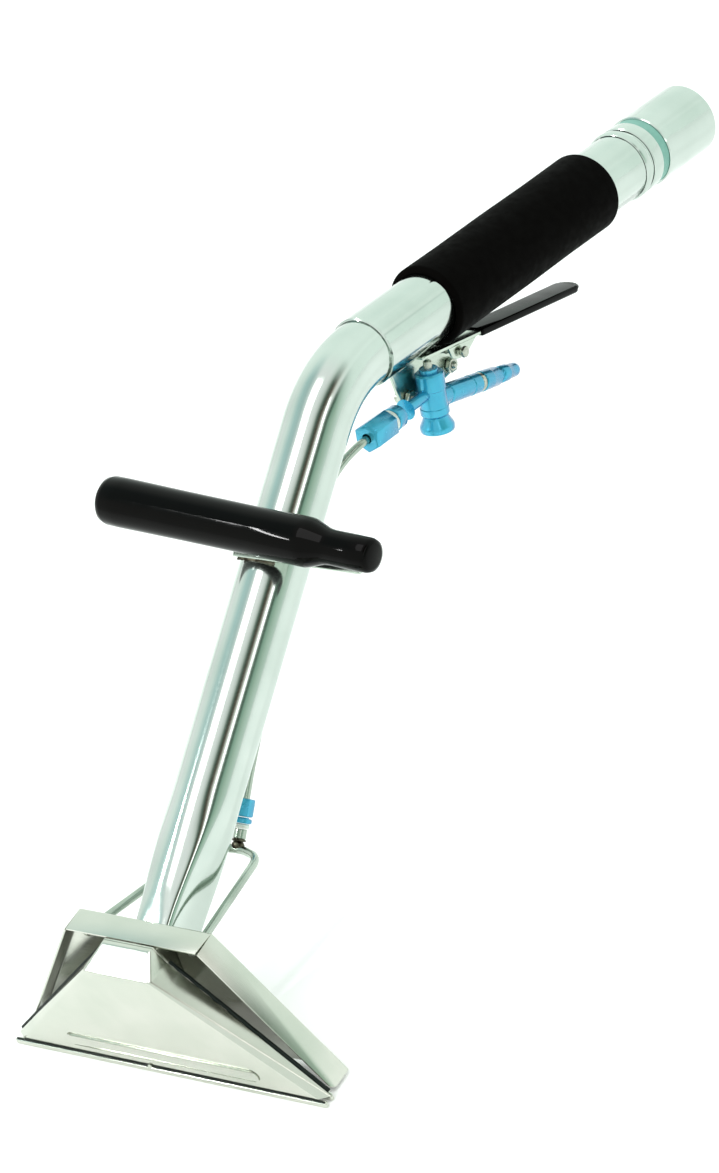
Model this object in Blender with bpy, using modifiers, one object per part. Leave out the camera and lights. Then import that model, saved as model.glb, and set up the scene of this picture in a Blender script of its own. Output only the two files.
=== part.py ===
"""Hand wand of a hot-water carpet extractor, standing with the sole of its head flat on the floor.

X runs across the head, -Y is ahead of it, +Y runs back along the handle, +Z is up. The origin is the middle
of the front lip's flat underside. Lengths are in metres; the tables below are in millimetres times MM.
"""
import math

import bpy
import bmesh
from mathutils import Matrix, Vector

MM = 0.001
GAP = 0.3 * MM
SHEET = 1.2 * MM

# Bent vacuum tube: where its axis meets the head, its two slopes and the bend between them.
TUBE_R = 19.05 * MM
TUBE_WALL = 1.2 * MM
TUBE_START = (20.8 * MM, 60.0 * MM)
LOWER_SLOPE = math.radians(31.6)
UPPER_SLOPE = math.radians(-14.2)
LOWER_LENGTH = 339.2 * MM
BEND_R = 70.0 * MM
NECK = {"half_x": 12.6 * MM, "half_p": 17.0 * MM, "power": 5.0, "flat": 12.0 * MM, "round": 100.0 * MM}

# Head: shoe (suction slot) and spray hood.
SHOE = {
    "x": (104.4 * MM, 22.65 * MM, 16.15 * MM),
    "z": (3.3 * MM, 80.4 * MM, 88.6 * MM),
    "front": (-0.4 * MM, -9.5 * MM, 5.0 * MM),
    "rear": (4.4 * MM, 7.3 * MM, 7.6 * MM),
}
LIP = {"x": 104.5 * MM, "top": 3.0 * MM, "front": (-2.0 * MM, 1.0 * MM), "rear": (3.7 * MM, 6.7 * MM)}
RIB = {"half": 63.5 * MM, "width": 8.0 * MM, "z": 13.5 * MM, "height": 1.0 * MM}
HOOD = {"bottom": (102.3 * MM, 2.1 * MM), "top": (43.8 * MM, 89.1 * MM), "front": 9.7 * MM, "rear": 26.6 * MM}
THROAT = {"x": 13.0 * MM, "z": (44.0 * MM, 84.0 * MM)}

# Pieces on the handle, by distance along the handle axis from the bend point.
SLEEVE = {"r": 20.3 * MM, "bore": 19.35 * MM, "s": (31.5 * MM, 331.0 * MM)}
GRIP = {"r": 24.3 * MM, "bore": 20.6 * MM, "s": (94.9 * MM, 267.2 * MM), "round": 4.0 * MM}
BEAD = {"r": 21.9 * MM, "s": (303.0 * MM, 310.5 * MM)}
COLLAR = {"r": 21.4 * MM, "s": (312.4 * MM, 321.6 * MM)}
SEAL = {"r": 20.9 * MM, "s": (321.9 * MM, 328.8 * MM)}
CUFF = {"r": 22.0 * MM, "bore": 20.36 * MM, "socket": 20.6 * MM, "s": (329.1 * MM, 381.0 * MM)}

# Cross handle, square to the tube but for a small turn.
CROSS = {"t": 237.1 * MM, "p": 36.0 * MM, "turn": math.radians(3.4), "x": (-95.8 * MM, 86.3 * MM)}
CROSS_GRIP = {"r": 13.8 * MM, "small": 9.6 * MM, "step": 47.5 * MM, "bore": 6.3 * MM}
CROSS_BAR_R = 6.0 * MM

# Trigger, valve and their bracket, in (along, perpendicular) of the handle.
EAR_X = (-5.0 * MM, -3.0 * MM)
RETAINER_X = (-7.3 * MM, -5.3 * MM)
VALVE_X = 7.0 * MM
VALVE = (79.5 * MM, -48.5 * MM)
VALVE_R = 8.4 * MM
VALVE_TOP = -29.5 * MM
INLET_SLOPE = math.radians(-12.2)
OUTLET_P = -43.5 * MM
STEM = {"r": 2.5 * MM, "bore": 2.55 * MM, "top": -25.2 * MM, "depth": 16.0 * MM}
PIVOT = (113.0 * MM, -34.0 * MM)
PIN_R = 2.0 * MM
BOLT_R = 2.0 * MM
BOLTS = ((70.0 * MM, -45.0 * MM), (113.0 * MM, -43.2 * MM))
NUT = {"across": 8.0 * MM, "height": 3.0 * MM}
HEX = 2 / math.sqrt(3)
LEVER = {"slope": math.radians(-8.6), "width": 14.0 * MM, "sheet": 1.8 * MM, "s": (76.0 * MM, 238.0 * MM)}
LEVER_GRIP = {"s": (134.0 * MM, 241.0 * MM), "skin": 1.3 * MM}

# Solution line.
LINE_R = 2.38 * MM
LINE_END = Vector((0.0, 128.6 * MM, 84.7 * MM))
TEE = Vector((0.0, 110.6 * MM, 67.4 * MM))
JET = {"x": 34.6 * MM, "z": 81.5 * MM, "corner": Vector((20.0 * MM, 97.6 * MM, 70.0 * MM))}

STEEL = (0.72, 0.77, 0.74)
BLUE = (0.08, 0.50, 0.66)
BLACK = (0.012, 0.012, 0.013)

for old in list(bpy.data.objects):
    bpy.data.objects.remove(old, do_unlink=True)
parts = bpy.data.collections.new("extractor_wand")
cutters = bpy.data.collections.new("extractor_wand_cutters")
bpy.context.scene.collection.children.link(parts)
bpy.context.scene.collection.children.link(cutters)

X = Vector((1.0, 0.0, 0.0))
LOW_A = Vector((0.0, math.cos(LOWER_SLOPE), math.sin(LOWER_SLOPE)))
LOW_N = Vector((0.0, -math.sin(LOWER_SLOPE), math.cos(LOWER_SLOPE)))
UP_A = Vector((0.0, math.cos(UPPER_SLOPE), math.sin(UPPER_SLOPE)))
UP_N = Vector((0.0, -math.sin(UPPER_SLOPE), math.cos(UPPER_SLOPE)))
LOW_0 = Vector((0.0, TUBE_START[0], TUBE_START[1]))
BEND = LOW_0 + LOW_A * LOWER_LENGTH


def low(t, p=0.0, x=0.0):
    return LOW_0 + LOW_A * t + LOW_N * p + X * x


def up(s, p=0.0, x=0.0):
    return BEND + UP_A * s + UP_N * p + X * x


def basis(origin, a, b, c):
    m = Matrix.Identity(4)
    for i, col in enumerate((a, b, c, origin)):
        for j in range(3):
            m[j][i] = col[j]
    return m


def aim(origin, axis, side=X):
    z = axis.normalized()
    x = (side - z * side.dot(z)).normalized()
    return basis(origin, x, z.cross(x), z)


def side_plane(origin):
    return basis(origin, UP_A, UP_N, X)


def material(name, colour, metallic, rough):
    mat = bpy.data.materials.get(name) or bpy.data.materials.new(name)
    mat.use_nodes = True
    bsdf = mat.node_tree.nodes["Principled BSDF"]
    bsdf.inputs["Base Color"].default_value = (*colour, 1.0)
    bsdf.inputs["Metallic"].default_value = metallic
    bsdf.inputs["Roughness"].default_value = rough
    return mat


KIND = {
    "steel": (STEEL, 1.0, 0.2),
    "zinc": ((0.55, 0.56, 0.54), 1.0, 0.35),
    "blue": (BLUE, 0.7, 0.25),
    "black": (BLACK, 0.0, 0.35),
    "foam": (BLACK, 0.0, 0.6),
    "tape": ((0.86, 0.87, 0.84), 0.0, 0.5),
    "seal": ((0.03, 0.16, 0.16), 0.0, 0.5),
}


def finish(obj, kind):
    colour, metallic, rough = KIND[kind]
    obj.data.materials.append(material(obj.name, colour, metallic, rough))
    parts.objects.link(obj)
    return obj


def helper(obj):
    cutters.objects.link(obj)
    obj.hide_render = True
    obj.display_type = "WIRE"
    return obj


def mesh_object(name, verts, faces, edges=(), smooth=False):
    mesh = bpy.data.meshes.new(name)
    mesh.from_pydata([tuple(v) for v in verts], list(edges), faces)
    mesh.update()
    for poly in mesh.polygons:
        poly.use_smooth = smooth
    return bpy.data.objects.new(name, mesh)


def turned(name, profile, place, ring=False, steps=36):
    verts = [(r, 0.0, z) for r, z in profile]
    edges = [(i, i + 1) for i in range(len(verts) - 1)]
    if ring:
        edges.append((len(verts) - 1, 0))
    obj = mesh_object(name, verts, [], edges)
    mod = obj.modifiers.new("turn", "SCREW")
    mod.axis = "Z"
    mod.angle = math.tau
    mod.steps = steps
    mod.render_steps = steps
    mod.use_merge_vertices = True
    mod.merge_threshold = 0.00001
    mod.use_smooth_shade = True
    obj.matrix_world = place
    return obj


def prism(name, outline, depth, place):
    curve = bpy.data.curves.new(name, "CURVE")
    curve.dimensions = "2D"
    curve.fill_mode = "BOTH"
    curve.extrude = depth / 2
    spline = curve.splines.new("POLY")
    spline.points.add(len(outline) - 1)
    for point, (a, b) in zip(spline.points, outline):
        point.co = (a, b, 0.0, 1.0)
    spline.use_cyclic_u = True
    flat = bpy.data.objects.new(name, curve)
    cutters.objects.link(flat)
    graph = bpy.context.evaluated_depsgraph_get()
    mesh = bpy.data.meshes.new_from_object(flat.evaluated_get(graph))
    bpy.data.objects.remove(flat, do_unlink=True)
    bm = bmesh.new()
    bm.from_mesh(mesh)
    bmesh.ops.remove_doubles(bm, verts=bm.verts, dist=0.000001)
    bmesh.ops.recalc_face_normals(bm, faces=bm.faces)
    bm.to_mesh(mesh)
    bm.free()
    mesh.name = name
    obj = bpy.data.objects.new(name, mesh)
    obj.matrix_world = place
    return obj


def rod(name, points, radius, resolution=2):
    curve = bpy.data.curves.new(name, "CURVE")
    curve.dimensions = "3D"
    curve.fill_mode = "FULL"
    curve.bevel_depth = radius
    curve.bevel_resolution = resolution
    curve.use_fill_caps = True
    spline = curve.splines.new("POLY")
    spline.points.add(len(points) - 1)
    for point, co in zip(spline.points, points):
        point.co = (*co, 1.0)
    return bpy.data.objects.new(name, curve)


def block(name, size, centre):
    a, b, c = (v / 2 for v in size)
    verts = [(x, y, z) for x in (-a, a) for y in (-b, b) for z in (-c, c)]
    faces = [(0, 1, 3, 2), (4, 6, 7, 5), (0, 4, 5, 1), (2, 3, 7, 6), (0, 2, 6, 4), (1, 5, 7, 3)]
    obj = mesh_object(name, verts, faces)
    obj.location = centre
    return obj


def loft(name, rings, inner=None, smooth=False):
    n = len(rings[0])
    verts = [v for ring in rings for v in ring]
    last = len(rings) - 1
    faces = []
    for k in range(last):
        for i in range(n):
            j = (i + 1) % n
            faces.append((k * n + i, k * n + j, (k + 1) * n + j, (k + 1) * n + i))
    if inner is None:
        faces.append(tuple(range(n))[::-1])
        faces.append(tuple(range(last * n, last * n + n)))
    else:
        base = len(verts)
        verts += [v for ring in inner for v in ring]
        for k in range(last):
            for i in range(n):
                j = (i + 1) % n
                a = base + k * n
                faces.append((a + j, a + i, a + n + i, a + n + j))
        for i in range(n):
            j = (i + 1) % n
            faces.append((j, i, base + i, base + j))
            a = last * n
            faces.append((a + i, a + j, base + a + j, base + a + i))
    obj = mesh_object(name, verts, faces, smooth=smooth)
    bm = bmesh.new()
    bm.from_mesh(obj.data)
    bmesh.ops.recalc_face_normals(bm, faces=bm.faces)
    bm.to_mesh(obj.data)
    bm.free()
    return obj


def combine(target, operation, *others):
    for i, other in enumerate(others):
        mod = target.modifiers.new(f"{operation.lower()}_{i}", "BOOLEAN")
        mod.operation = operation
        mod.solver = "EXACT"
        mod.object = helper(other)
    return target


def cylinder(name, radius, length, place, steps=36):
    return turned(name, [(0, length), (radius, length), (radius, 0), (0, 0)], place, steps=steps)


def hexagon(across, turn=0.0):
    r = across / math.sqrt(3)
    return [(r * math.cos(math.tau * i / 6 + turn), r * math.sin(math.tau * i / 6 + turn)) for i in range(6)]


def arc(cx, cz, r, start, end, steps=5):
    out = []
    for i in range(steps + 1):
        a = math.radians(start + (end - start) * i / steps)
        out.append((cx + r * math.cos(a), cz + r * math.sin(a)))
    return out


# Shoe: front shell, rear wall, lips and throat.
def shoe_ring(k, grow_x=0.0, front=0.0, rear=0.0, z=None):
    x = SHOE["x"][k] + grow_x
    yf = SHOE["front"][k] + front
    yr = SHOE["rear"][k] + rear
    z = SHOE["z"][k] if z is None else z
    return [Vector((-x, yf, z)), Vector((x, yf, z)), Vector((x, yr, z)), Vector((-x, yr, z))]


slope_x = (SHOE["x"][0] - SHOE["x"][1]) / (SHOE["z"][1] - SHOE["z"][0])
drop = 3.0 * MM
shell = loft("shoe_front_shell", [shoe_ring(0), shoe_ring(1), shoe_ring(2)])
hollow = loft(
    "shoe_hollow",
    [
        shoe_ring(0, drop * slope_x - 1.75 * MM, SHEET + 0.35 * MM, 6.0 * MM, SHOE["z"][0] - drop),
        shoe_ring(1, -1.6 * MM, SHEET + 0.1 * MM, 6.0 * MM, SHOE["z"][1] - 0.9 * MM),
        shoe_ring(2, -1.5 * MM, SHEET, 6.0 * MM, SHOE["z"][2] - SHEET),
    ],
)
front_tilt = math.atan2(SHOE["front"][0] - SHOE["front"][1], SHOE["z"][1] - SHOE["z"][0])
face_up = Vector((0.0, -math.sin(front_tilt), math.cos(front_tilt)))
face_out = Vector((0.0, -math.cos(front_tilt), -math.sin(front_tilt)))
rib_y = SHOE["front"][0] - (RIB["z"] - SHOE["z"][0]) * math.tan(front_tilt)
h = RIB["half"] - RIB["width"] / 2
rib_outline = arc(h, 0, RIB["width"] / 2, -90, 90, 8) + arc(-h, 0, RIB["width"] / 2, 90, 270, 8)
rib = prism(
    "shoe_rib",
    rib_outline,
    RIB["height"] * 2,
    basis(Vector((0, rib_y, RIB["z"])), X, face_up, X.cross(face_up)),
)
combine(shell, "UNION", rib)
combine(shell, "DIFFERENCE", hollow)
finish(shell, "steel")

rear_rings = []
for k in range(3):
    x, z = SHOE["x"][k], SHOE["z"][k]
    y = SHOE["rear"][k] + GAP
    rear_rings.append([Vector((a, b, z)) for a, b in ((-x, y), (x, y), (x, y + SHEET), (-x, y + SHEET))])
wall = loft("shoe_rear_wall", rear_rings)
port = (2 * (THROAT["x"] - SHEET), 8 * MM, THROAT["z"][1] - THROAT["z"][0] - 2 * SHEET)
port_z = sum(THROAT["z"]) / 2
combine(wall, "DIFFERENCE", block("rear_port", port, (0, 8 * MM, port_z)))
finish(wall, "steel")


def lip(name, span):
    y0, y1 = span
    r = (y1 - y0) / 2
    mid = (y0 + y1) / 2
    x = LIP["x"] - r
    outline = arc(x, mid, r, -90, 90, 6) + arc(-x, mid, r, 90, 270, 6)
    return prism(name, outline, LIP["top"], Matrix.Translation((0, 0, LIP["top"] / 2)))


finish(lip("front_lip", LIP["front"]), "steel")
finish(lip("rear_lip", LIP["rear"]), "steel")


def rear_y(z):
    f = (z - SHOE["z"][0]) / (SHOE["z"][1] - SHOE["z"][0])
    return SHOE["rear"][0] + (SHOE["rear"][1] - SHOE["rear"][0]) * f


def throat_ring(x, z0, z1, y=None):
    ends = [(z0, y), (z1, y)] if y else [(z, rear_y(z) + 2 * GAP + SHEET) for z in (z0, z1)]
    (za, ya), (zb, yb) = ends
    return [Vector((-x, ya, za)), Vector((x, ya, za)), Vector((x, yb, zb)), Vector((-x, yb, zb))]


tx, (tz0, tz1) = THROAT["x"], THROAT["z"]
plate_y = HOOD["rear"] - SHEET
throat = loft(
    "throat",
    [throat_ring(tx, tz0, tz1), throat_ring(tx, tz0, tz1, plate_y - GAP)],
    [
        throat_ring(tx - SHEET, tz0 + SHEET, tz1 - SHEET),
        throat_ring(tx - SHEET, tz0 + SHEET, tz1 - SHEET, plate_y - GAP),
    ],
)
finish(throat, "steel")

# Spray hood: back plate with a flange along its top and sides.
(bx, bz), (hx, hz) = HOOD["bottom"], HOOD["top"]
hood_slope = (bx - hx) / (hz - bz)
inset = SHEET * math.sqrt(1 + hood_slope**2)
hood_mid = Vector((0, (HOOD["front"] + HOOD["rear"]) / 2, 0))
hood_place = basis(hood_mid, X, Vector((0, 0, 1)), Vector((0, -1, 0)))
hood = prism(
    "spray_hood",
    [(-bx, bz), (bx, bz), (hx, hz), (-hx, hz)],
    HOOD["rear"] - HOOD["front"],
    hood_place,
)
top_in = hz - SHEET
bottom_in = bz - 5 * MM
inner_outline = [
    (-(bx + 5 * MM * hood_slope - inset), bottom_in),
    (bx + 5 * MM * hood_slope - inset, bottom_in),
    (hx + SHEET * hood_slope - inset, top_in),
    (-(hx + SHEET * hood_slope - inset), top_in),
]
inner_y = (HOOD["front"] - 5 * MM, plate_y)
inner = prism(
    "hood_hollow",
    inner_outline,
    inner_y[1] - inner_y[0],
    basis(Vector((0, sum(inner_y) / 2, 0)), X, Vector((0, 0, 1)), Vector((0, -1, 0))),
)
combine(hood, "DIFFERENCE", inner, block("hood_port", port, (0, plate_y, port_z)))
for sx in (-1, 1):
    jet_mouth = Vector((sx * JET["x"], 22.5 * MM, JET["z"]))
    jet_knee = Vector((sx * JET["corner"].x, JET["corner"].y, JET["corner"].z))
    leg = (jet_knee - jet_mouth).normalized()
    hole = cylinder(f"jet_hole_{sx}", LINE_R + GAP, 14 * MM, aim(jet_mouth - leg * 4 * MM, leg), 16)
    combine(hood, "DIFFERENCE", hole)
finish(hood, "steel")


# Vacuum tube: rounded rectangle at the head, round above it, bent, ending inside the handle sleeve.
def neck_section(t, shrink):
    f = min(1.0, max(0.0, (t - NECK["flat"]) / (NECK["round"] - NECK["flat"])))
    f = f * f * (3 - 2 * f)
    a = NECK["half_x"] + (TUBE_R - NECK["half_x"]) * f - shrink
    b = NECK["half_p"] + (TUBE_R - NECK["half_p"]) * f - shrink
    power = 2.0 / (NECK["power"] + (2.0 - NECK["power"]) * f)
    out = []
    for i in range(32):
        w = math.tau * (i + 0.5) / 32
        c, s = math.cos(w), math.sin(w)
        out.append((a * math.copysign(abs(c) ** power, c), b * math.copysign(abs(s) ** power, s)))
    return out


bend_angle = LOWER_SLOPE - UPPER_SLOPE
tangent = BEND_R * math.tan(bend_angle / 2)
stations = [(low(t), LOW_A, LOW_N, t) for t in [14 * MM + 8 * MM * i for i in range(12)]]
stations += [(low(t), LOW_A, LOW_N, t) for t in (160 * MM, 240 * MM, LOWER_LENGTH - tangent)]
centre = low(LOWER_LENGTH - tangent, -BEND_R)
for i in range(1, 13):
    a = LOWER_SLOPE - bend_angle * i / 12
    along = Vector((0, math.cos(a), math.sin(a)))
    across = Vector((0, -math.sin(a), math.cos(a)))
    stations.append((centre + across * BEND_R, along, across, 1.0))
stations.append((up(60 * MM), UP_A, UP_N, 1.0))


def tube_rings(shrink):
    start = []
    for x, p in neck_section(0.0, shrink):
        point = low(0.0, p, x)
        point += LOW_A * ((HOOD["rear"] + GAP - point.y) / LOW_A.y)
        start.append(point)
    rings = [start]
    for origin, along, across, t in stations:
        ring = [origin + X * x + across * p for x, p in neck_section(t, shrink)]
        if t < 0.04:
            ahead = LOW_A * 2 * MM * (1 + t / MM / 20)
            ring = [q if q.y > s.y + 2 * MM else s + ahead for q, s in zip(ring, start)]
        rings.append(ring)
    return rings


finish(loft("vacuum_tube", tube_rings(0.0), tube_rings(TUBE_WALL), smooth=True), "steel")

# Handle sleeve, grip, rings and swivel cuff.
handle = aim(BEND, UP_A)


def ring_profile(r, bore, s, bevel=0.0):
    a, b = s
    if bevel:
        top = arc(r - bevel, b - bevel, bevel, 90, 0, 3)
        low_edge = arc(r - bevel, a + bevel, bevel, 0, -90, 3)
        outer = top + low_edge
    else:
        outer = [(r, b), (r, a)]
    return [(bore, b)] + outer + [(bore, a)]


sleeve_profile = ring_profile(SLEEVE["r"], SLEEVE["bore"], SLEEVE["s"])
grip_profile = ring_profile(GRIP["r"], GRIP["bore"], GRIP["s"], 3.4 * MM)
bead_profile = ring_profile(BEAD["r"], SLEEVE["r"] + GAP, BEAD["s"], 0.6 * MM)
collar_profile = ring_profile(COLLAR["r"], SLEEVE["r"] + GAP, COLLAR["s"], 0.6 * MM)
seal_profile = ring_profile(SEAL["r"], SLEEVE["r"] + GAP, SEAL["s"])
finish(turned("handle_sleeve", sleeve_profile, handle, True), "steel")
finish(turned("handle_grip", grip_profile, handle, True), "foam")
finish(turned("sleeve_bead", bead_profile, handle, True), "steel")
finish(turned("cuff_collar", collar_profile, handle, True), "steel")
finish(turned("cuff_seal", seal_profile, handle, True), "seal")
c0, c1 = CUFF["s"]
lap = SLEEVE["s"][1]
cuff_profile = [
    (CUFF["socket"], c1),
    (CUFF["r"], c1),
    (CUFF["r"], c0 + 0.8 * MM),
    (CUFF["r"] - 0.8 * MM, c0),
    (CUFF["bore"], c0),
    (CUFF["bore"], lap + 0.3 * MM),
]
finish(turned("swivel_cuff", cuff_profile, handle, True), "steel")

# Cross handle: bar, dipped grip with its reduced end, and the saddle bracket under it.
turn_axis = (X * math.cos(CROSS["turn"]) - LOW_A * math.sin(CROSS["turn"])).normalized()
cross_0 = low(CROSS["t"], CROSS["p"])
cross = aim(cross_0, turn_axis, LOW_N)
xa, xb = CROSS["x"]
big, small, step = CROSS_GRIP["r"], CROSS_GRIP["small"], CROSS_GRIP["step"]
grip_outline = (
    [(0, xb)]
    + arc(small - 2.5 * MM, xb - 2.5 * MM, 2.5 * MM, 90, 0, 4)
    + [(small, step + 9 * MM), (small + 1.2 * MM, step + 5 * MM)]
    + [(big - 1.2 * MM, step - 3 * MM), (big, step - 8 * MM)]
    + arc(big - 3.5 * MM, xa + 3.5 * MM, 3.5 * MM, 0, -90, 4)
    + [(0, xa)]
)
cross_grip = turned("cross_handle_grip", grip_outline, cross)
bore_place = cross @ Matrix.Translation((0, 0, xa + 4 * MM))
bore = cylinder("cross_bore", CROSS_GRIP["bore"], xb - xa - 8 * MM, bore_place)
bar_ends = (xa + 4.5 * MM, xb - 4.5 * MM)
tab_x = 67.0 * MM
tab_at = low(CROSS["t"] - tab_x * math.tan(CROSS["turn"]), 0.0, tab_x)
tab_place = basis(tab_at, X, LOW_A, LOW_N)


def tab_block(name, size, p0, p1):
    obj = block(name, (size[0], size[1], p1 - p0), (0, 0, 0))
    obj.matrix_world = tab_place @ Matrix.Translation((0, 0, (p0 + p1) / 2))
    return obj


slot = tab_block("cross_slot", (10.6 * MM, 8.6 * MM), 20 * MM, 33 * MM)
finish(combine(cross_grip, "DIFFERENCE", bore, slot), "black")
bar_place = cross @ Matrix.Translation((0, 0, bar_ends[0]))
cross_bar = cylinder("cross_handle_bar", CROSS_BAR_R, bar_ends[1] - bar_ends[0], bar_place)
finish(cross_bar, "steel")
strap_low = TUBE_R + GAP
strap_high = strap_low + 2 * MM
strap = prism(
    "cross_handle_bracket",
    [(-14 * MM, strap_low), (72 * MM, strap_low), (72 * MM, strap_high), (-14 * MM, strap_high)],
    18.0 * MM,
    basis(low(CROSS["t"] - 3.0 * MM), X, LOW_N, X.cross(LOW_N)),
)
tab = tab_block("cross_tab", (10 * MM, 8 * MM), strap_low + 1 * MM, CROSS["p"] - CROSS_BAR_R - GAP)
combine(strap, "UNION", tab)
finish(strap, "steel")

# Valve bracket with the retaining plate behind it, their bolts and nuts, and the trigger's pin.
ear_outline = [
    (56, -20.7), (94.2, -20.7), (94.2, -25.2), (112, -28.2), (119.5, -31.5),
    (121.5, -44.5), (117.0, -48.2), (104.0, -50.0), (76, -52.0), (64, -49.0),
]
ear_outline = [(a * MM, b * MM) for a, b in ear_outline][::-1]
ear_mid = sum(EAR_X) / 2
ear = prism("valve_bracket", ear_outline, EAR_X[1] - EAR_X[0], side_plane(BEND + X * ear_mid))
foot = block("bracket_foot", (9 * MM, 16 * MM, 1.6 * MM), (0, 0, 0))
foot.matrix_world = basis(up(64.2 * MM, -21.5 * MM, -0.5 * MM), X, UP_A, UP_N)
combine(ear, "UNION", foot)


def cross_hole(name, at, radius):
    return cylinder(name, radius, 40 * MM, aim(up(at[0], at[1], -20 * MM), X, UP_A), 24)


combine(ear, "DIFFERENCE", *[cross_hole(f"ear_hole_{i}", b, BOLT_R + GAP) for i, b in enumerate(BOLTS)])
combine(ear, "DIFFERENCE", cross_hole("ear_pin_hole", PIVOT, PIN_R + GAP))
finish(ear, "steel")

plate_outline = [
    (64.5, -41.0), (110.0, -38.4), (118.5, -39.5), (119.0, -46.5),
    (112.0, -48.6), (72.0, -50.6), (65.0, -48.0),
]
plate_outline = [(a * MM, b * MM) for a, b in plate_outline][::-1]
plate_place = side_plane(BEND + X * sum(RETAINER_X) / 2)
plate = prism("valve_retainer", plate_outline, RETAINER_X[1] - RETAINER_X[0], plate_place)
combine(plate, "DIFFERENCE", *[cross_hole(f"plate_hole_{i}", b, BOLT_R + GAP) for i, b in enumerate(BOLTS)])
finish(plate, "steel")


nut_x = EAR_X[1] + GAP
nut_r = NUT["across"] / math.sqrt(3)
head_x = RETAINER_X[0] - GAP
bolt_tip = 12.6 * MM
bolt_profile = [(0, bolt_tip), (BOLT_R, bolt_tip), (BOLT_R, 3 * MM), (3.6 * MM, 3 * MM), (3.6 * MM, 0), (0, 0)]
nut_bore = (BOLT_R + 0.15 * MM) * HEX
nut_profile = [(nut_bore, NUT["height"]), (nut_r, NUT["height"]), (nut_r, 0), (nut_bore, 0)]
for label, (s, p) in zip(("front", "rear"), BOLTS):
    bolt_place = aim(up(s, p, head_x - 3 * MM), X, UP_N)
    finish(turned(f"bracket_bolt_{label}", bolt_profile, bolt_place, steps=20), "zinc")
    finish(turned(f"bracket_nut_{label}", nut_profile, aim(up(s, p, nut_x), X, UP_N), True, 6), "zinc")
pin_head = 9.0 * MM
pin = turned(
    "trigger_pin",
    [
        (0, pin_head + 1.8 * MM), (3.4 * MM, pin_head + 1.8 * MM), (3.4 * MM, pin_head),
        (PIN_R, pin_head), (PIN_R, -pin_head), (0, -pin_head),
    ],
    aim(up(*PIVOT), X, UP_A),
)
finish(pin, "zinc")

# Trigger: a steel channel lever on the pin and a dipped sleeve along its back end.
line_p = -31.7 * MM - (PIVOT[0] - 133.4 * MM) * math.tan(-LEVER["slope"]) - PIVOT[1]


def lever_frame(x=0.0):
    a = UP_A * math.cos(LEVER["slope"]) + UP_N * math.sin(LEVER["slope"])
    n = UP_N * math.cos(LEVER["slope"]) - UP_A * math.sin(LEVER["slope"])
    return basis(up(PIVOT[0], PIVOT[1], x), a, n, X)


s0, s1 = (v - PIVOT[0] for v in LEVER["s"])
half = LEVER["sheet"] / 2
lever_web = prism(
    "trigger_lever",
    [(s0, line_p - half), (s1, line_p - half), (s1, line_p + half), (s0, line_p + half)],
    LEVER["width"],
    lever_frame(),
)
cheek_outline = [(-8.5, -2.0), (-3.0, -3.6), (3.0, -3.6), (8.5, -1.0), (16.0, 3.4), (-12.0, 3.4)]
cheek_outline = [(a * MM, b * MM if b < 3 else line_p) for a, b in cheek_outline]
cheek_x = LEVER["width"] / 2 - 0.8 * MM
cheeks = [
    prism(f"cheek_{i}", cheek_outline, 1.5 * MM, lever_frame(x))
    for i, x in enumerate((-cheek_x, cheek_x))
]
combine(lever_web, "UNION", *cheeks)
notch = block("lever_notch", (63.5 * MM, 60 * MM, 3.0 * MM), (0, 0, 0))
notch.matrix_world = side_plane(up(91.8 * MM, -30 * MM, ear_mid))
nose = block("lever_nose", (40 * MM, 60 * MM, 10 * MM), (0, 0, 0))
nose.matrix_world = side_plane(up(80 * MM, -30 * MM, -7.5 * MM))
combine(lever_web, "DIFFERENCE", cross_hole("lever_hole", PIVOT, PIN_R + 0.05 * MM), notch, nose)
finish(lever_web, "steel")
g0, g1 = (v - PIVOT[0] for v in LEVER_GRIP["s"])
skin = LEVER_GRIP["skin"] + half
tip = arc(g1 - skin, line_p, skin, -90, 90, 6)
grip_outline = [(g0, line_p - skin)] + tip + [(g0, line_p + skin)]
grip_width = LEVER["width"] + 2 * LEVER_GRIP["skin"]
trigger_grip = prism("trigger_grip", grip_outline, grip_width, lever_frame())
slot_box = prism(
    "trigger_slot",
    [
        (g0 - 5 * MM, line_p - half - GAP), (s1 + GAP, line_p - half - GAP),
        (s1 + GAP, line_p + half + GAP), (g0 - 5 * MM, line_p + half + GAP),
    ],
    LEVER["width"] + 2 * GAP,
    lever_frame(),
)
finish(combine(trigger_grip, "DIFFERENCE", slot_box), "black")

# Valve: body with its two arms, cap, stem; then what screws into each arm.
valve_0 = up(VALVE[0], VALVE[1], VALVE_X)
in_axis = UP_A * math.cos(INLET_SLOPE) + UP_N * math.sin(INLET_SLOPE)
body = turned(
    "valve_body",
    [(0, 19 * MM), (7.6 * MM, 19 * MM), (VALVE_R, 18 * MM), (VALVE_R, -9 * MM), (0, -9 * MM)],
    aim(valve_0, UP_N),
)
inlet = cylinder("inlet_arm", 6.0 * MM, 44 * MM, aim(valve_0, in_axis), 30)
outlet_place = aim(up(VALVE[0], OUTLET_P, VALVE_X), -UP_A)
outlet = turned(
    "outlet_arm",
    [(0, 41.5 * MM), (7.6 * MM, 41.5 * MM), (7.6 * MM, 22 * MM), (4.2 * MM, 20 * MM), (4.2 * MM, 0), (0, 0)],
    outlet_place,
    steps=30,
)
spigot_place = aim(up(VALVE[0] + 8 * MM, VALVE[1] + 2 * MM, EAR_X[1] + GAP), X, UP_N)
spigot = cylinder("valve_spigot", 5.0 * MM, 9.5 * MM, spigot_place, 24)
bore_place = aim(up(VALVE[0], VALVE_TOP - STEM["depth"] - 3.8 * MM, VALVE_X), UP_N)
stem_bore = cylinder("stem_bore", STEM["bore"], 20 * MM, bore_place, 36)
combine(body, "UNION", inlet, outlet, spigot)
combine(body, "DIFFERENCE", stem_bore)
finish(body, "blue")
stem_foot = VALVE_TOP - STEM["depth"]
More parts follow.
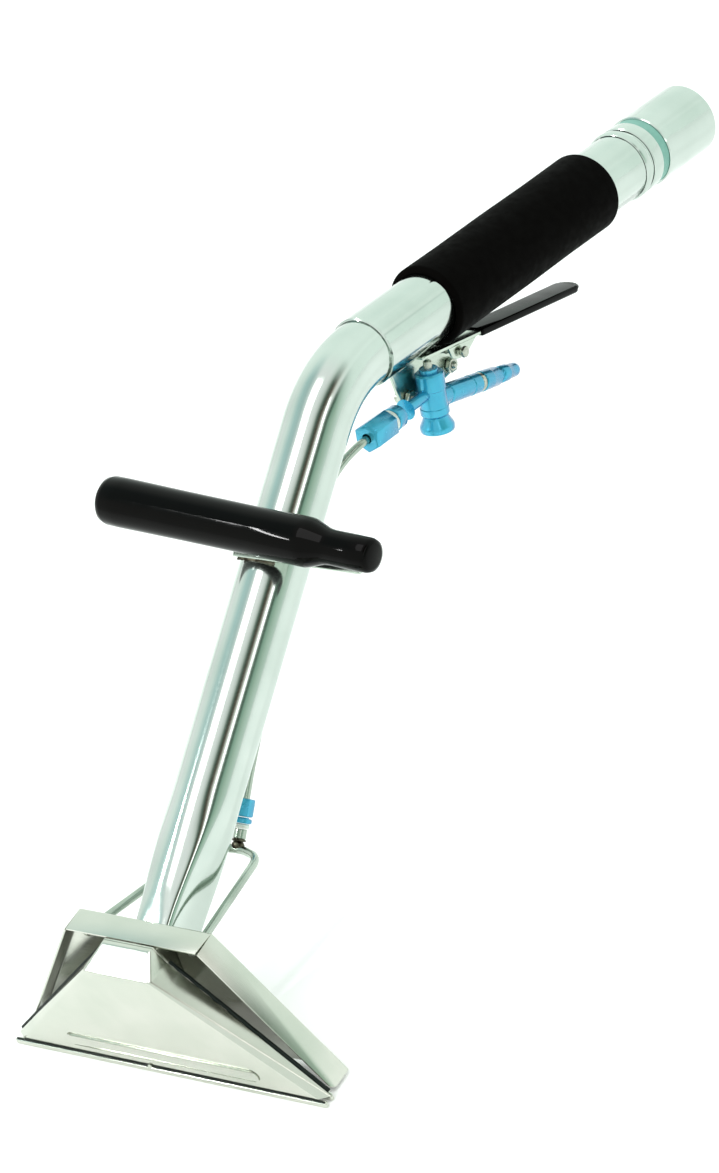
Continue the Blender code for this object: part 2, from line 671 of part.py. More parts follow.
stem = cylinder("valve_stem", STEM["r"], STEM["top"] - stem_foot, aim(up(VALVE[0], stem_foot, VALVE_X), UP_N))
finish(stem, "zinc")
cap = turned(
    "valve_cap",
    [
        (0, 0), (7.4 * MM, 0), (10.0 * MM, -6.5 * MM),
        (10.0 * MM, -9.0 * MM), (9.0 * MM, -10.0 * MM), (0, -10.0 * MM),
    ],
    aim(up(VALVE[0], VALVE[1] - 9.3 * MM, VALVE_X), UP_N),
    steps=36,
)
finish(cap, "blue")


def inline(name, start, profile, kind, steps=30):
    place = aim(valve_0 + in_axis * start, in_axis)
    return finish(turned(name, profile, place, steps=steps), kind)


inline("inlet_ferrule", 44.3 * MM, [(0, 3.2 * MM), (5.6 * MM, 3.2 * MM), (5.6 * MM, 0), (0, 0)], "zinc")
plug_profile = [
    (0, 38.0 * MM), (2.6 * MM, 38.0 * MM), (4.2 * MM, 35.5 * MM), (4.4 * MM, 27.0 * MM), (5.0 * MM, 26.0 * MM),
    (5.0 * MM, 20.0 * MM), (4.2 * MM, 19.0 * MM), (4.2 * MM, 17.0 * MM), (5.8 * MM, 15.0 * MM), (6.0 * MM, 0), (0, 0),
]
inline("inlet_plug", 47.8 * MM, plug_profile, "blue")


def outline(name, s, r, kind, bore=None, steps=30):
    s0_, s1_ = s
    place = aim(up(s1_, OUTLET_P, VALVE_X), -UP_A)
    length = s1_ - s0_
    if bore is None:
        return finish(turned(name, [(0, length), (r, length), (r, 0), (0, 0)], place, steps=steps), kind)
    return finish(turned(name, [(bore, length), (r, length), (r, 0), (bore, 0)], place, True, steps), kind)


outline("upper_tape", (34.4 * MM, 37.7 * MM), 6.6 * MM, "tape")
outline("upper_nut", (13.0 * MM, 34.1 * MM), 8.8 * MM, "blue", (LINE_R + GAP) * HEX, 6)

# Solution line: a rigid tube from the valve's nut down to the tee over the head, and the jets it feeds.
line_axis = (LINE_END - TEE).normalized()


def on_line(name, start, profile, kind, ring=False, steps=30):
    place = aim(TEE + line_axis * start, line_axis)
    return finish(turned(name, profile, place, ring, steps), kind)


def smooth_path(p0, d0, p1, d1, steps):
    out = []
    for i in range(steps + 1):
        u = i / steps
        h0 = 2 * u**3 - 3 * u**2 + 1
        h1 = u**3 - 2 * u**2 + u
        h2 = -2 * u**3 + 3 * u**2
        h3 = u**3 - u**2
        out.append(p0 * h0 + d0 * h1 + p1 * h2 + d1 * h3)
    return out


line_top = up(31.0 * MM, OUTLET_P, VALVE_X)
line_knee = up(11.0 * MM, OUTLET_P - 0.4 * MM)
line_low = TEE + line_axis * 16.0 * MM
line_bow = TEE + line_axis * 36.0 * MM
path = [line_top]
bow = smooth_path(line_knee, -UP_A * 90 * MM, line_bow, -line_axis * 130 * MM, 24)
for i, q in enumerate(bow):
    u = min(1.0, i / 24 / 0.24)
    path.append(q + X * VALVE_X * (1 - u * u * (3 - 2 * u)))
path.append(line_low)
finish(rod("solution_tube", path, LINE_R), "steel")
tee_profile = [(0, 9 * MM), (3.6 * MM, 9 * MM), (3.6 * MM, 3.6 * MM), (3.0 * MM, 2.8 * MM), (0, 2.8 * MM)]
on_line("tee_fitting", 0, tee_profile, "steel")
on_line("lower_tape", 9.3 * MM, [(0, 2.6 * MM), (4.6 * MM, 2.6 * MM), (4.6 * MM, 0), (0, 0)], "tape")
on_line("lower_ring", 12.2 * MM, [(0, 3.3 * MM), (5.4 * MM, 3.3 * MM), (5.4 * MM, 0), (0, 0)], "blue")
line_bore = (LINE_R + GAP) * HEX
lower_nut = [(line_bore, 10 * MM), (5.6 * MM, 10 * MM), (5.6 * MM, 0), (line_bore, 0)]
on_line("lower_nut", 15.8 * MM, lower_nut, "blue", True, 6)


def round_corners(points, radius, steps=5):
    out = [points[0]]
    for a, b, c in zip(points, points[1:], points[2:]):
        u, v = (a - b).normalized(), (c - b).normalized()
        cut = min(radius, (a - b).length / 2.05, (c - b).length / 2.05)
        for i in range(steps + 1):
            k = i / steps
            out.append(b + u * cut * (1 - k) ** 2 + v * cut * k**2)
    out.append(points[-1])
    return out


def mirrored(points):
    return [Vector((-q.x, q.y, q.z)) for q in points[::-1]]


yoke_mid = Vector((0.0, TEE.y - 1.6 * MM, TEE.z - 1.6 * MM))
jet_in = Vector((JET["x"], 22.5 * MM, JET["z"]))
corner = JET["corner"] + (JET["corner"] - jet_in).normalized() * 5 * MM
half_path = [Vector((4.0 * MM, yoke_mid.y, yoke_mid.z)), corner, jet_in]
yoke = round_corners(mirrored(half_path) + half_path, 9 * MM)
finish(rod("jet_yoke", yoke, LINE_R), "steel")
nozzle_profile = [(0, 0), (3.6 * MM, 0), (3.6 * MM, -3.4 * MM), (2.4 * MM, -5.6 * MM), (0, -5.6 * MM)]
for label, sx in (("left", -1), ("right", 1)):
    place = aim(Vector((sx * JET["x"], 17.6 * MM, JET["z"] + 4.5 * MM)), Vector((0, 0.25, 1)))
    finish(turned(f"spray_nozzle_{label}", nozzle_profile, place, steps=20), "zinc")
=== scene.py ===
import bmesh
import bpy
import math
from mathutils import Matrix, Vector


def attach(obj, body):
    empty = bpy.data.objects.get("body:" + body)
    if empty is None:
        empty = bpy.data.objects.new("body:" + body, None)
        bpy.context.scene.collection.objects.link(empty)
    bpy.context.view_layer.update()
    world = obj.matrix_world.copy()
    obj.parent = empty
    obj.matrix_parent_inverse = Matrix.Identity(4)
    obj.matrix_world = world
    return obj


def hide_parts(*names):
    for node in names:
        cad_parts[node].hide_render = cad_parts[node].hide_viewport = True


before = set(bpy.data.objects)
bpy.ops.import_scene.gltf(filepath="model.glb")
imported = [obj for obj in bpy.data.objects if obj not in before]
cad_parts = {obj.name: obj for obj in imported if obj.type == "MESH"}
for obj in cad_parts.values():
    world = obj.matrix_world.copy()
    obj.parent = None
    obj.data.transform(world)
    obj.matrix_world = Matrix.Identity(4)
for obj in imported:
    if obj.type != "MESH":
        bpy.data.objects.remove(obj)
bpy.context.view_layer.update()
scene = bpy.context.scene
mm = 0.001
print("frame loaded")

# Sizes are in millimetres. The lower tube rises from the head, and the handle falls gently past the bend.
wand = {
    "start": (20.8, 60.0), "lowerSlope": 31.6, "upperSlope": -14.2, "lowerLength": 339.2,
    "bendRadius": 70.0, "tubeRadius": 19.05,
}


def slopeVectors(degrees):
    a = math.radians(degrees)
    return Vector((0, math.cos(a), math.sin(a))), Vector((0, -math.sin(a), math.cos(a)))


across = Vector((1, 0, 0))
lowAlong, lowOut = slopeVectors(wand["lowerSlope"])
upAlong, upOut = slopeVectors(wand["upperSlope"])
lowStart = Vector((0, *wand["start"])) * mm
bendPoint = lowStart + lowAlong * wand["lowerLength"] * mm


def lowPoint(t, p=0.0, x=0.0):
    return lowStart + (lowAlong * t + lowOut * p + across * x) * mm


def upPoint(s, p=0.0, x=0.0):
    return bendPoint + (upAlong * s + upOut * p + across * x) * mm


def axes(origin, a, b, c):
    m = Matrix.Identity(4)
    for i, column in enumerate((a, b, c, origin)):
        for j in range(3):
            m[j][i] = column[j]
    return m


def aim(origin, axis, side=across):
    z = axis.normalized()
    x = (side - z * side.dot(z)).normalized()
    return axes(origin, x, z.cross(x), z)


def sidePlane(origin):
    return axes(origin, upAlong, upOut, across)


# Materials
def toLinear(code):
    out = []
    for i in (0, 2, 4):
        c = int(code[i:i + 2], 16) / 255
        out.append(c / 12.92 if c <= 0.04045 else ((c + 0.055) / 1.055) ** 2.4)
    return (*out, 1.0)


def addNode(tree, kind, settings=None, links=None):
    node = tree.nodes.new(kind)
    for key, value in (settings or {}).items():
        if isinstance(key, str) and hasattr(node, key):
            setattr(node, key, value)
        else:
            node.inputs[key].default_value = value
    for key, socket in (links or {}).items():
        tree.links.new(socket, node.inputs[key])
    return node


def startMaterial(name, settings):
    material = bpy.data.materials.new(name)
    material.use_nodes = True
    tree = material.node_tree
    shader = tree.nodes["Principled BSDF"]
    for key, value in settings.items():
        shader.inputs[key].default_value = value
    place = addNode(tree, "ShaderNodeTexCoord").outputs["Object"]
    return material, tree, shader, place


def noiseAt(tree, place, size, stretch=(1, 1, 1), detail=3.0, turn=(0, 0, 0)):
    scale = 1 / (size * mm)
    mapping = addNode(tree, "ShaderNodeMapping", {
        "Rotation": turn, "Scale": (scale / stretch[0], scale / stretch[1], scale / stretch[2]),
    }, {"Vector": place})
    return addNode(tree, "ShaderNodeTexNoise", {"Scale": 1.0, "Detail": detail},
                   {"Vector": mapping.outputs[0]}).outputs["Fac"]


def spread(tree, value, low, high, inLow=0.3, inHigh=0.7):
    return addNode(tree, "ShaderNodeMapRange", {1: inLow, 2: inHigh, 3: low, 4: high},
                   {0: value}).outputs[0]


def addBump(tree, shader, height, depth, strength=1.0, before=None):
    links = {"Height": height}
    if before:
        links["Normal"] = before
    bump = addNode(tree, "ShaderNodeBump", {"Distance": depth * mm, "Strength": strength}, links)
    tree.links.new(bump.outputs[0], shader.inputs["Normal"])
    return bump.outputs[0]


def mixColours(tree, factor, first, second):
    mix = addNode(tree, "ShaderNodeMix", {"data_type": "RGBA"}, {0: factor})
    mix.inputs[6].default_value = toLinear(first)
    mix.inputs[7].default_value = toLinear(second)
    return mix.outputs[2]


# Stainless steel, mill-finished and buffed: a grey-white mirror, softened by polishing lines and handling.
def stainless(name, light, deep, gloss, lineSize, lineStretch, waviness, turn=(0, 0, 0)):
    material, tree, shader, place = startMaterial(name, {"Metallic": 1.0})
    smudge = noiseAt(tree, place, 34, detail=4.0)
    lines = noiseAt(tree, place, lineSize, lineStretch, 2.0, turn)
    tree.links.new(mixColours(tree, spread(tree, smudge, 0.0, 1.0), light, deep),
                   shader.inputs["Base Color"])
    both = addNode(tree, "ShaderNodeMath", {"operation": "ADD"}, {
        0: spread(tree, smudge, gloss * 0.75, gloss * 1.15),
        1: spread(tree, lines, 0.0, gloss * 0.35),
    })
    tree.links.new(both.outputs[0], shader.inputs["Roughness"])
    soft = addBump(tree, shader, noiseAt(tree, place, 60, detail=1.0), waviness)
    addBump(tree, shader, lines, 0.004, 0.35, soft)
    return material


tubeSteel = stainless("buffedStainlessTube", "CDD6D0", "C1CCC5", 0.10, 0.45, (60, 60, 1), 0.05)
sheetSteel = stainless("millFinishStainlessSheet", "D2D3CA", "C6CABF", 0.18, 0.6, (70, 1, 1), 0.22)
thinSteel = stainless("drawnStainlessLine", "BEC8BD", "98A498", 0.18, 0.4, (1, 20, 20), 0.01)
stripSteel = stainless("rolledStainlessStrip", "CDD7CC", "BAC6BA", 0.2, 0.5, (1, 40, 1), 0.03)


# Weld metal left as struck: straw and brown heat colours round a rippled grey bead.
def weldMaterial():
    material, tree, shader, place = startMaterial("heatTintedWeld", {"Metallic": 1.0})
    patch = noiseAt(tree, place, 3.0, detail=4.0)
    tree.links.new(mixColours(tree, spread(tree, patch, 0, 1, 0.35, 0.6), "6E6A5C", "2B241C"),
                   shader.inputs["Base Color"])
    tree.links.new(spread(tree, patch, 0.28, 0.6), shader.inputs["Roughness"])
    addBump(tree, shader, noiseAt(tree, place, 0.9, detail=2.0), 0.12, 0.8)
    return material


# Turned brass under clear blue lacquer, with painted shade: bright cyan where it faces the eye, painted
# deep blue where it turns away.
def lacquerEdgeShadeMaterial():
    material, tree, shader, place = startMaterial("blueLacquerPaintedEdgeShade", {
        "Metallic": 0.55, "Coat Weight": 0.6, "Coat Roughness": 0.08,
    })
    # Painted shade: how far the surface turns from the eye sets how much deep blue goes into the colour.
    facing = addNode(tree, "ShaderNodeLayerWeight", {"Blend": 0.42}).outputs["Facing"]
    cast = noiseAt(tree, place, 9.0, detail=2.0)
    paintedEdgeShade = spread(tree, facing, 0.0, 1.0, 0.3, 0.85)
    even = mixColours(tree, cast, "3FB6D4", "2B9FC6")
    mix = addNode(tree, "ShaderNodeMix", {"data_type": "RGBA"}, {0: paintedEdgeShade, 6: even})
    mix.inputs[7].default_value = toLinear("0A559B")
    tree.links.new(mix.outputs[2], shader.inputs["Base Color"])
    tree.links.new(spread(tree, noiseAt(tree, place, 6.0), 0.2, 0.28), shader.inputs["Roughness"])
    addBump(tree, shader, noiseAt(tree, place, 3.0, detail=2.0), 0.02, 0.3)
    return material


# Plated steel hardware: brighter than the sheet on its faces, dull in its threads.
def platedMaterial():
    material, tree, shader, place = startMaterial("zincPlatedSteel", {"Metallic": 1.0})
    patch = noiseAt(tree, place, 2.2, detail=4.0)
    tree.links.new(mixColours(tree, patch, "D6D9CC", "8F958A"), shader.inputs["Base Color"])
    tree.links.new(spread(tree, patch, 0.18, 0.36), shader.inputs["Roughness"])
    addBump(tree, shader, noiseAt(tree, place, 0.5), 0.015, 0.5)
    return material


# Dipped PVC: near-black, glossy, with the slow waves and drips of a coat that set while it hung.
def dippedMaterial():
    settings = {"IOR": 1.3, "Specular IOR Level": 0.17}
    material, tree, shader, place = startMaterial("dippedBlackVinyl", settings)
    tree.links.new(mixColours(tree, noiseAt(tree, place, 12), "040303", "070605"),
                   shader.inputs["Base Color"])
    tree.links.new(spread(tree, noiseAt(tree, place, 9), 0.035, 0.06), shader.inputs["Roughness"])
    soft = addBump(tree, shader, noiseAt(tree, place, 16, (3, 1, 1), 1.0), 0.22)
    addBump(tree, shader, noiseAt(tree, place, 1.6, detail=2.0), 0.01, 0.5, soft)
    return material


# Extruded nitrile foam: black, close-celled skin with a faint satin bloom.
def foamMaterial():
    settings = {"IOR": 1.3, "Specular IOR Level": 0.03}
    material, tree, shader, place = startMaterial("nitrileFoamSleeve", settings)
    tree.links.new(mixColours(tree, noiseAt(tree, place, 7), "040303", "080706"),
                   shader.inputs["Base Color"])
    tree.links.new(spread(tree, noiseAt(tree, place, 5), 0.5, 0.68), shader.inputs["Roughness"])
    soft = addBump(tree, shader, noiseAt(tree, place, 22, detail=1.0), 0.15)
    cells = addNode(tree, "ShaderNodeTexVoronoi", {"Scale": 1 / (0.7 * mm)},
                    {"Vector": place}).outputs["Distance"]
    addBump(tree, shader, cells, 0.03, 0.5, soft)
    return material


# Wound PTFE tape: matt white with the edges of its turns showing.
def tapeMaterial():
    material, tree, shader, place = startMaterial("woundThreadTape", {"Subsurface Weight": 0.1})
    turns = noiseAt(tree, place, 0.8, (6, 1, 1), 2.0)
    tree.links.new(mixColours(tree, turns, "F4F5EE", "DDE1D6"), shader.inputs["Base Color"])
    tree.links.new(spread(tree, turns, 0.42, 0.6), shader.inputs["Roughness"])
    addBump(tree, shader, turns, 0.06, 0.7)
    return material


# Moulded rubber seal in the swivel's groove, coloured dark sea green as painted groove shade; matt and
# dusty.
def sealGrooveShadeMaterial():
    material, tree, shader, place = startMaterial("swivelSealPaintedGrooveShade", {"Specular IOR Level": 0.35})
    dust = noiseAt(tree, place, 4.0, detail=4.0)
    # Painted shade: the seal's dark sea green stands for the shade in the groove, with random dusty
    # patches.
    tree.links.new(mixColours(tree, dust, "6FA79B", "8FBFB2"), shader.inputs["Base Color"])
    tree.links.new(spread(tree, dust, 0.4, 0.6), shader.inputs["Roughness"])
    addBump(tree, shader, noiseAt(tree, place, 0.6), 0.02, 0.5)
    return material


weldMetal = weldMaterial()
blueLacquerEdgeShaded = lacquerEdgeShadeMaterial()
platedSteel = platedMaterial()
dippedVinyl = dippedMaterial()
gripFoam = foamMaterial()
threadTape = tapeMaterial()
sealRubberGrooveShade = sealGrooveShadeMaterial()
print("materials made")


# Shaping
def sharpEdges(bm, degrees):
    limit = math.radians(degrees)
    return [e for e in bm.edges if len(e.link_faces) == 2 and e.calc_face_angle(0.0) > limit]


def soften(bm, width, segments=3, degrees=28, edges=None):
    chosen = edges if edges is not None else sharpEdges(bm, degrees)
    bmesh.ops.bevel(bm, geom=chosen, offset=width * mm, offset_type="OFFSET", segments=segments,
                    profile=0.5,
                    affect="EDGES", material=-1, clamp_overlap=True)


def tidyMesh(bm):
    bmesh.ops.remove_doubles(bm, verts=bm.verts, dist=0.000001)
    bmesh.ops.recalc_face_normals(bm, faces=bm.faces)


def spun(profile, matrix, closed=False, steps=96):
    bm = bmesh.new()
    line = [bm.verts.new((r * mm, 0, z * mm)) for r, z in profile]
    edges = [bm.edges.new(pair) for pair in zip(line, line[1:])]
    if closed:
        edges.append(bm.edges.new((line[-1], line[0])))
    bmesh.ops.spin(bm, geom=line + edges, cent=(0, 0, 0), axis=(0, 0, 1), angle=math.tau, steps=steps,
                   use_merge=True)
    tidyMesh(bm)
    bm.transform(matrix)
    return bm


def plate(outline, thickness, matrix):
    bm = bmesh.new()
    face = bm.faces.new([bm.verts.new((a * mm, b * mm, -thickness * mm / 2)) for a, b in outline])
    top = bmesh.ops.extrude_face_region(bm, geom=[face])["geom"]
    raised = [v for v in top if isinstance(v, bmesh.types.BMVert)]
    bmesh.ops.translate(bm, verts=raised, vec=(0, 0, thickness * mm))
    tidyMesh(bm)
    bm.transform(matrix)
    return bm


def hexBar(acrossFlats, length, bore, matrix, chamfer=0.7):
    bm = bmesh.new()
    r = acrossFlats / math.sqrt(3) * mm
    rings = []
    for radius, count in ((r, 6), (bore * mm, 48)):
        ring = bmesh.ops.create_circle(bm, segments=count, radius=radius, cap_ends=False)["verts"]
        rings.append({e for v in ring for e in v.link_edges})
    if bore:
        bmesh.ops.triangle_fill(bm, edges=list(rings[0] | rings[1]), use_beauty=True)
    grown = bmesh.ops.extrude_face_region(bm, geom=list(bm.faces))["geom"]
    bmesh.ops.translate(bm, verts=[g for g in grown if isinstance(g, bmesh.types.BMVert)],
                        vec=(0, 0, length * mm))
    tidyMesh(bm)
    flats = [e for e in sharpEdges(bm, 28) if max(v.co.xy.length for v in e.verts) > r * 0.98]
    upright = [e for e in flats if abs(e.verts[0].co.z - e.verts[1].co.z) > length * mm / 2]
    soften(bm, chamfer, 2, edges=[e for e in flats if e not in upright])
    soften(bm, 0.25, 2, 24)
    bm.transform(matrix)
    return bm


def sleeveOf(points, radius, sides):
    curve = bpy.data.curves.new("route", "CURVE")
    curve.dimensions = "3D"
    curve.fill_mode = "FULL"
    curve.bevel_depth = radius * mm
    curve.bevel_resolution = sides // 4
    curve.use_fill_caps = True
    spline = curve.splines.new("POLY")
    spline.points.add(len(points) - 1)
    for point, co in zip(spline.points, points):
        point.co = (*co, 1.0)
    holder = bpy.data.objects.new("route", curve)
    scene.collection.objects.link(holder)
    made = bpy.data.meshes.new_from_object(holder.evaluated_get(bpy.context.evaluated_depsgraph_get()))
    bm = bmesh.new()
    bm.from_mesh(made)
    tidyMesh(bm)
    bpy.data.objects.remove(holder, do_unlink=True)
    bpy.data.meshes.remove(made)
    return bm


def joined(*pieces):
    whole = bmesh.new()
    for bm in pieces:
        part = bpy.data.meshes.new("part")
        bm.to_mesh(part)
        whole.from_mesh(part)
        bpy.data.meshes.remove(part)
        bm.free()
    return whole


def showPiece(name, bm, material, body="wand", nodes=(), smoothBelow=32):
    mesh = bpy.data.meshes.new(name)
    bm.to_mesh(mesh)
    bm.free()
    mesh.polygons.foreach_set("use_smooth", [True] * len(mesh.polygons))
    mesh.set_sharp_from_angle(angle=math.radians(smoothBelow))
    mesh.materials.append(material)
    piece = bpy.data.objects.new(name, mesh)
    scene.collection.objects.link(piece)
    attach(piece, body)
    if nodes:
        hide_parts(*nodes)
    return piece


def bead(points, radius, wobble=0.18, sides=16):
    bm = sleeveOf(points, radius, sides)
    for v in bm.verts:
        ripple = math.sin((v.co.x + v.co.y * 1.3 + v.co.z * 0.7) / (0.42 * mm)) * wobble * mm
        v.co += v.normal * ripple
    return bm


def ringPoints(matrix, radius, count):
    return [matrix @ Vector((radius * mm * math.cos(math.tau * i / count),
                             radius * mm * math.sin(math.tau * i / count), 0))
            for i in range(count + 1)]


# Bent vacuum tube
neck = {"halfX": 12.6, "halfP": 17.0, "square": 5.0, "flatAt": 12.0, "roundAt": 100.0, "spoonStart": 44.0,
        "spoonEnd": 20.0, "wall": 1.2, "sides": 96, "plateY": 26.9, "insideHandle": 60.0,
        "leadFrom": 9, "leadTo": 60, "lead": 0.16}


def ease(value, low, high):
    f = min(1.0, max(0.0, (value - low) / (high - low)))
    return f * f * (3 - 2 * f)


def tubeSection(angle, t, inset):
    f = ease(t, neck["flatAt"], neck["roundAt"])
    radius = wand["tubeRadius"]
    a = neck["halfX"] + (radius - neck["halfX"]) * f - inset
    b = neck["halfP"] + (radius - neck["halfP"]) * f - inset
    power = 2 / (neck["square"] + (2 - neck["square"]) * f)
    c, s = math.cos(angle), math.sin(angle)
    x = a * math.copysign(abs(c) ** power, c)
    p = b * math.copysign(abs(s) ** power, s)
    if s > 0 and f < 1:
        crown = math.sqrt(max(0.0, (radius - inset) ** 2 - x * x))
        hold = ease(t, neck["spoonEnd"], neck["spoonStart"]) * ease(1 - abs(x) / a, 0.0, 0.55)
        p += (min(crown, radius - inset) - p) * hold * 0.9
    return x, p


def tubeStations():
    turn = wand["lowerSlope"] - wand["upperSlope"]
    tangent = wand["bendRadius"] * math.tan(math.radians(turn) / 2)
    stops = [(lowPoint(t), lowAlong, lowOut, t) for t in [10 + 2.5 * i for i in range(37)]]
    last = wand["lowerLength"] - tangent
    stops += [(lowPoint(t), lowAlong, lowOut, t) for t in (130, 180, 230, 280, last)]
    centre = lowPoint(last, -wand["bendRadius"])
    for i in range(1, 41):
        along, out = slopeVectors(wand["lowerSlope"] - turn * i / 40)
        stops.append((centre + out * wand["bendRadius"] * mm, along, out, 999))
    stops.append((upPoint(neck["insideHandle"]), upAlong, upOut, 999))
    return stops


def tubeSkin(inset):
    bm = bmesh.new()
    layer = bm.verts.layers.float.new("turn")
    ring = bmesh.ops.create_circle(bm, segments=neck["sides"], radius=1.0, cap_ends=False)["verts"]
    for v in ring:
        v[layer] = math.atan2(v.co.y, v.co.x)
    edges = list({e for v in ring for e in v.link_edges})
    mouth = {}
    for v in ring:
        x, p = tubeSection(v[layer], 0.0, inset)
        spot = lowPoint(0, p, x)
        spot += lowAlong * ((neck["plateY"] * mm - spot.y) / lowAlong.y)
        v.co = spot
        mouth[round(v[layer], 5)] = spot
    for origin, along, out, t in tubeStations():
        grown = bmesh.ops.extrude_edge_only(bm, edges=edges)["geom"]
        ring = [g for g in grown if isinstance(g, bmesh.types.BMVert)]
        edges = [g for g in grown if isinstance(g, bmesh.types.BMEdge)]
        for v in ring:
            x, p = tubeSection(v[layer], t, inset)
            spot = origin + (across * x + out * p) * mm
            start = mouth[round(v[layer], 5)]
            ahead = (spot - start).dot(lowAlong)
            # Rings near the plate never fold back over its cut
            least = (t - neck["leadFrom"]) * neck["lead"] * mm
            if t < neck["leadTo"] and ahead < least:
                spot += lowAlong * (least - ahead)
            v.co = spot
    return bm


def bentTube():
    outer, inner = tubeSkin(0.0), tubeSkin(neck["wall"])
    bm = joined(outer, inner)
    rims = [e for e in bm.edges if len(e.link_faces) == 1]
    low = [e for e in rims if max(v.co.y for v in e.verts) < 0.1]
    high = [e for e in rims if e not in low]
    bmesh.ops.bridge_loops(bm, edges=low)
    bmesh.ops.bridge_loops(bm, edges=high)
    tidyMesh(bm)
    return bm


showPiece("bentVacuumTube", bentTube(), tubeSteel, nodes=["vacuum_tube"], smoothBelow=40)


def neckWeld():
    points = []
    for i in range(97):
        x, p = tubeSection(math.tau * i / 96, 0.0, -0.4)
        spot = lowPoint(0, p, x)
        points.append(spot + lowAlong * ((neck["plateY"] * mm + 0.3 * mm - spot.y) / lowAlong.y))
    return bead(points, 1.1)


showPiece("neckWeld", neckWeld(), weldMetal)
print("bent tube made")

# Handle: sleeve, rings, swivel cuff and foam grip
handle = aim(bendPoint, upAlong)
handlePieces = {
    "handleSleeve": {
        "node": "handle_sleeve", "edge": 0.3,
        "profile": [(19.4, 331), (20.3, 331), (20.3, 31.5), (19.4, 31.5)],
    },
    "sleeveBead": {
        "node": "sleeve_bead",
        "profile": [(20.6, 309.0), (21.2, 309.6), (21.7, 308.4), (21.7, 305.2), (21.0, 303.6),
                    (20.6, 303.4)],
    },
    "cuffCollar": {
        "node": "cuff_collar",
        "profile": [(20.6, 321.6), (21.4, 321.6), (21.6, 320.4), (21.4, 312.8), (20.6, 312.4)],
    },
    "cuffSeal": {
        "node": "cuff_seal", "edge": 0.1, "finish": sealRubberGrooveShade, "slot": "seal",
        "profile": [(20.6, 328.8), (20.85, 328.8), (20.85, 321.9), (20.6, 321.9)],
    },
    "swivelCuff": {
        "node": "swivel_cuff", "body": "cuff",
        "profile": [
            (20.6, 380.6), (21.0, 381.0), (21.9, 381.0), (21.9, 350), (21.7, 336.0), (21.9, 334.2),
                    (21.9, 329.6),
            (21.3, 329.1), (20.4, 329.1), (20.4, 331.6), (20.6, 332.2),
        ],
    },
}
for name, made in handlePieces.items():
    bm = spun(made["profile"], handle, True, 128)
    if "edge" in made:
        soften(bm, made["edge"], 3)
    showPiece(name, bm, made.get("finish", tubeSteel), made.get("body", "wand"),
              [made["node"]])

gripShape = {"bore": 20.6, "radius": 24.3, "from": 94.9, "to": 267.2, "round": 3.0}


def foamGrip():
    g = gripShape
    r, bend = g["radius"], g["round"]
    turnIn = [(r - bend + bend * math.cos(math.radians(a)), bend * math.sin(math.radians(a)) - bend)
              for a in range(0, 91, 10)]
    end = [(a, g["to"] + b) for a, b in turnIn]
    start = [(a, g["from"] - b) for a, b in turnIn]
    return spun([(g["bore"], g["to"])] + end[::-1] + [(r - 0.25, 225), (r, 180), (r - 0.2, 130)] + start
                + [(g["bore"], g["from"])],
                handle, True, 128)


showPiece("foamGrip", foamGrip(), gripFoam, nodes=["handle_grip"], smoothBelow=50)
print("handle made")

# Suction shoe: one folded sheet, wider and thinner towards its lip
shoe = {
    "z": (3.8, 80.4, 88.6), "x": (104.4, 22.65, 16.15), "front": (-0.4, -9.5, 5.0), "rear": (4.4, 7.3, 7.6),
    "fold": (6.2, 1.6, 0.8), "foldDepth": (4.2, 1.2, 0.8), "sheet": 1.2, "bend": 1.0,
    "rib": {"half": 59.5, "radius": 4.3, "z": 13.5, "rise": 0.7, "bend": 0.6},
}


def shoeShell():
    bm = bmesh.new()
    rows = []
    for z, x, front, rear, fold, depth in zip(*(shoe[k] for k in ("z", "x", "front", "rear", "fold",
                                                                  "foldDepth"))):
        right = [(x - fold, front), (x, front + depth), (x, rear)]
        left = [(-a, b) for a, b in right[::-1]]
        rows.append([bm.verts.new((a * mm, b * mm, z * mm)) for a, b in left + right])
    for low, high in zip(rows, rows[1:]):
        for i in range(5):
            bm.faces.new((low[i], low[i + 1], high[i + 1], high[i]))
    bm.faces.new(rows[-1])
    tidyMesh(bm)
    soften(bm, shoe["bend"], 4, 8)
    bmesh.ops.solidify(bm, geom=list(bm.faces), thickness=shoe["sheet"] * mm)
    bmesh.ops.recalc_face_normals(bm, faces=bm.faces)
    return bm


def shoeRib():
    rib = shoe["rib"]
    z0, z1 = shoe["z"][0], shoe["z"][1]
    y0, y1 = shoe["front"][0], shoe["front"][1]
    tilt = math.atan2(y0 - y1, z1 - z0)
    faceUp = Vector((0, -math.sin(tilt), math.cos(tilt)))
    spot = Vector((0, y0 - (rib["z"] - z0) * math.tan(tilt), rib["z"])) * mm
    loop = []
    for side in (1, -1):
        for i in range(17):
            a = math.radians(-90 + 180 * i / 16)
            loop.append((side * (rib["half"] + rib["radius"] * math.cos(a)),
                         side * rib["radius"] * math.sin(a)))
    bm = plate(loop, 2 * rib["rise"], axes(spot, across, faceUp, across.cross(faceUp)))
    soften(bm, rib["bend"], 5, 50)
    return bm


showPiece("shoeShell", joined(shoeShell(), shoeRib()), sheetSteel, nodes=["shoe_front_shell"])


port = {"x": 11.8, "z": (45.2, 82.8)}  # the throat's way through the rear wall and the hood's back plate


def portCuts():
    for x in (port["x"], -port["x"]):
        yield Vector((x, 0, 0)) * mm, across
    for z in port["z"]:
        yield Vector((0, 0, z)) * mm, Vector((0, 0, 1))


def inPort(face):
    middle = face.calc_center_median()
    return abs(middle.x) < port["x"] * mm and port["z"][0] * mm < middle.z < port["z"][1] * mm


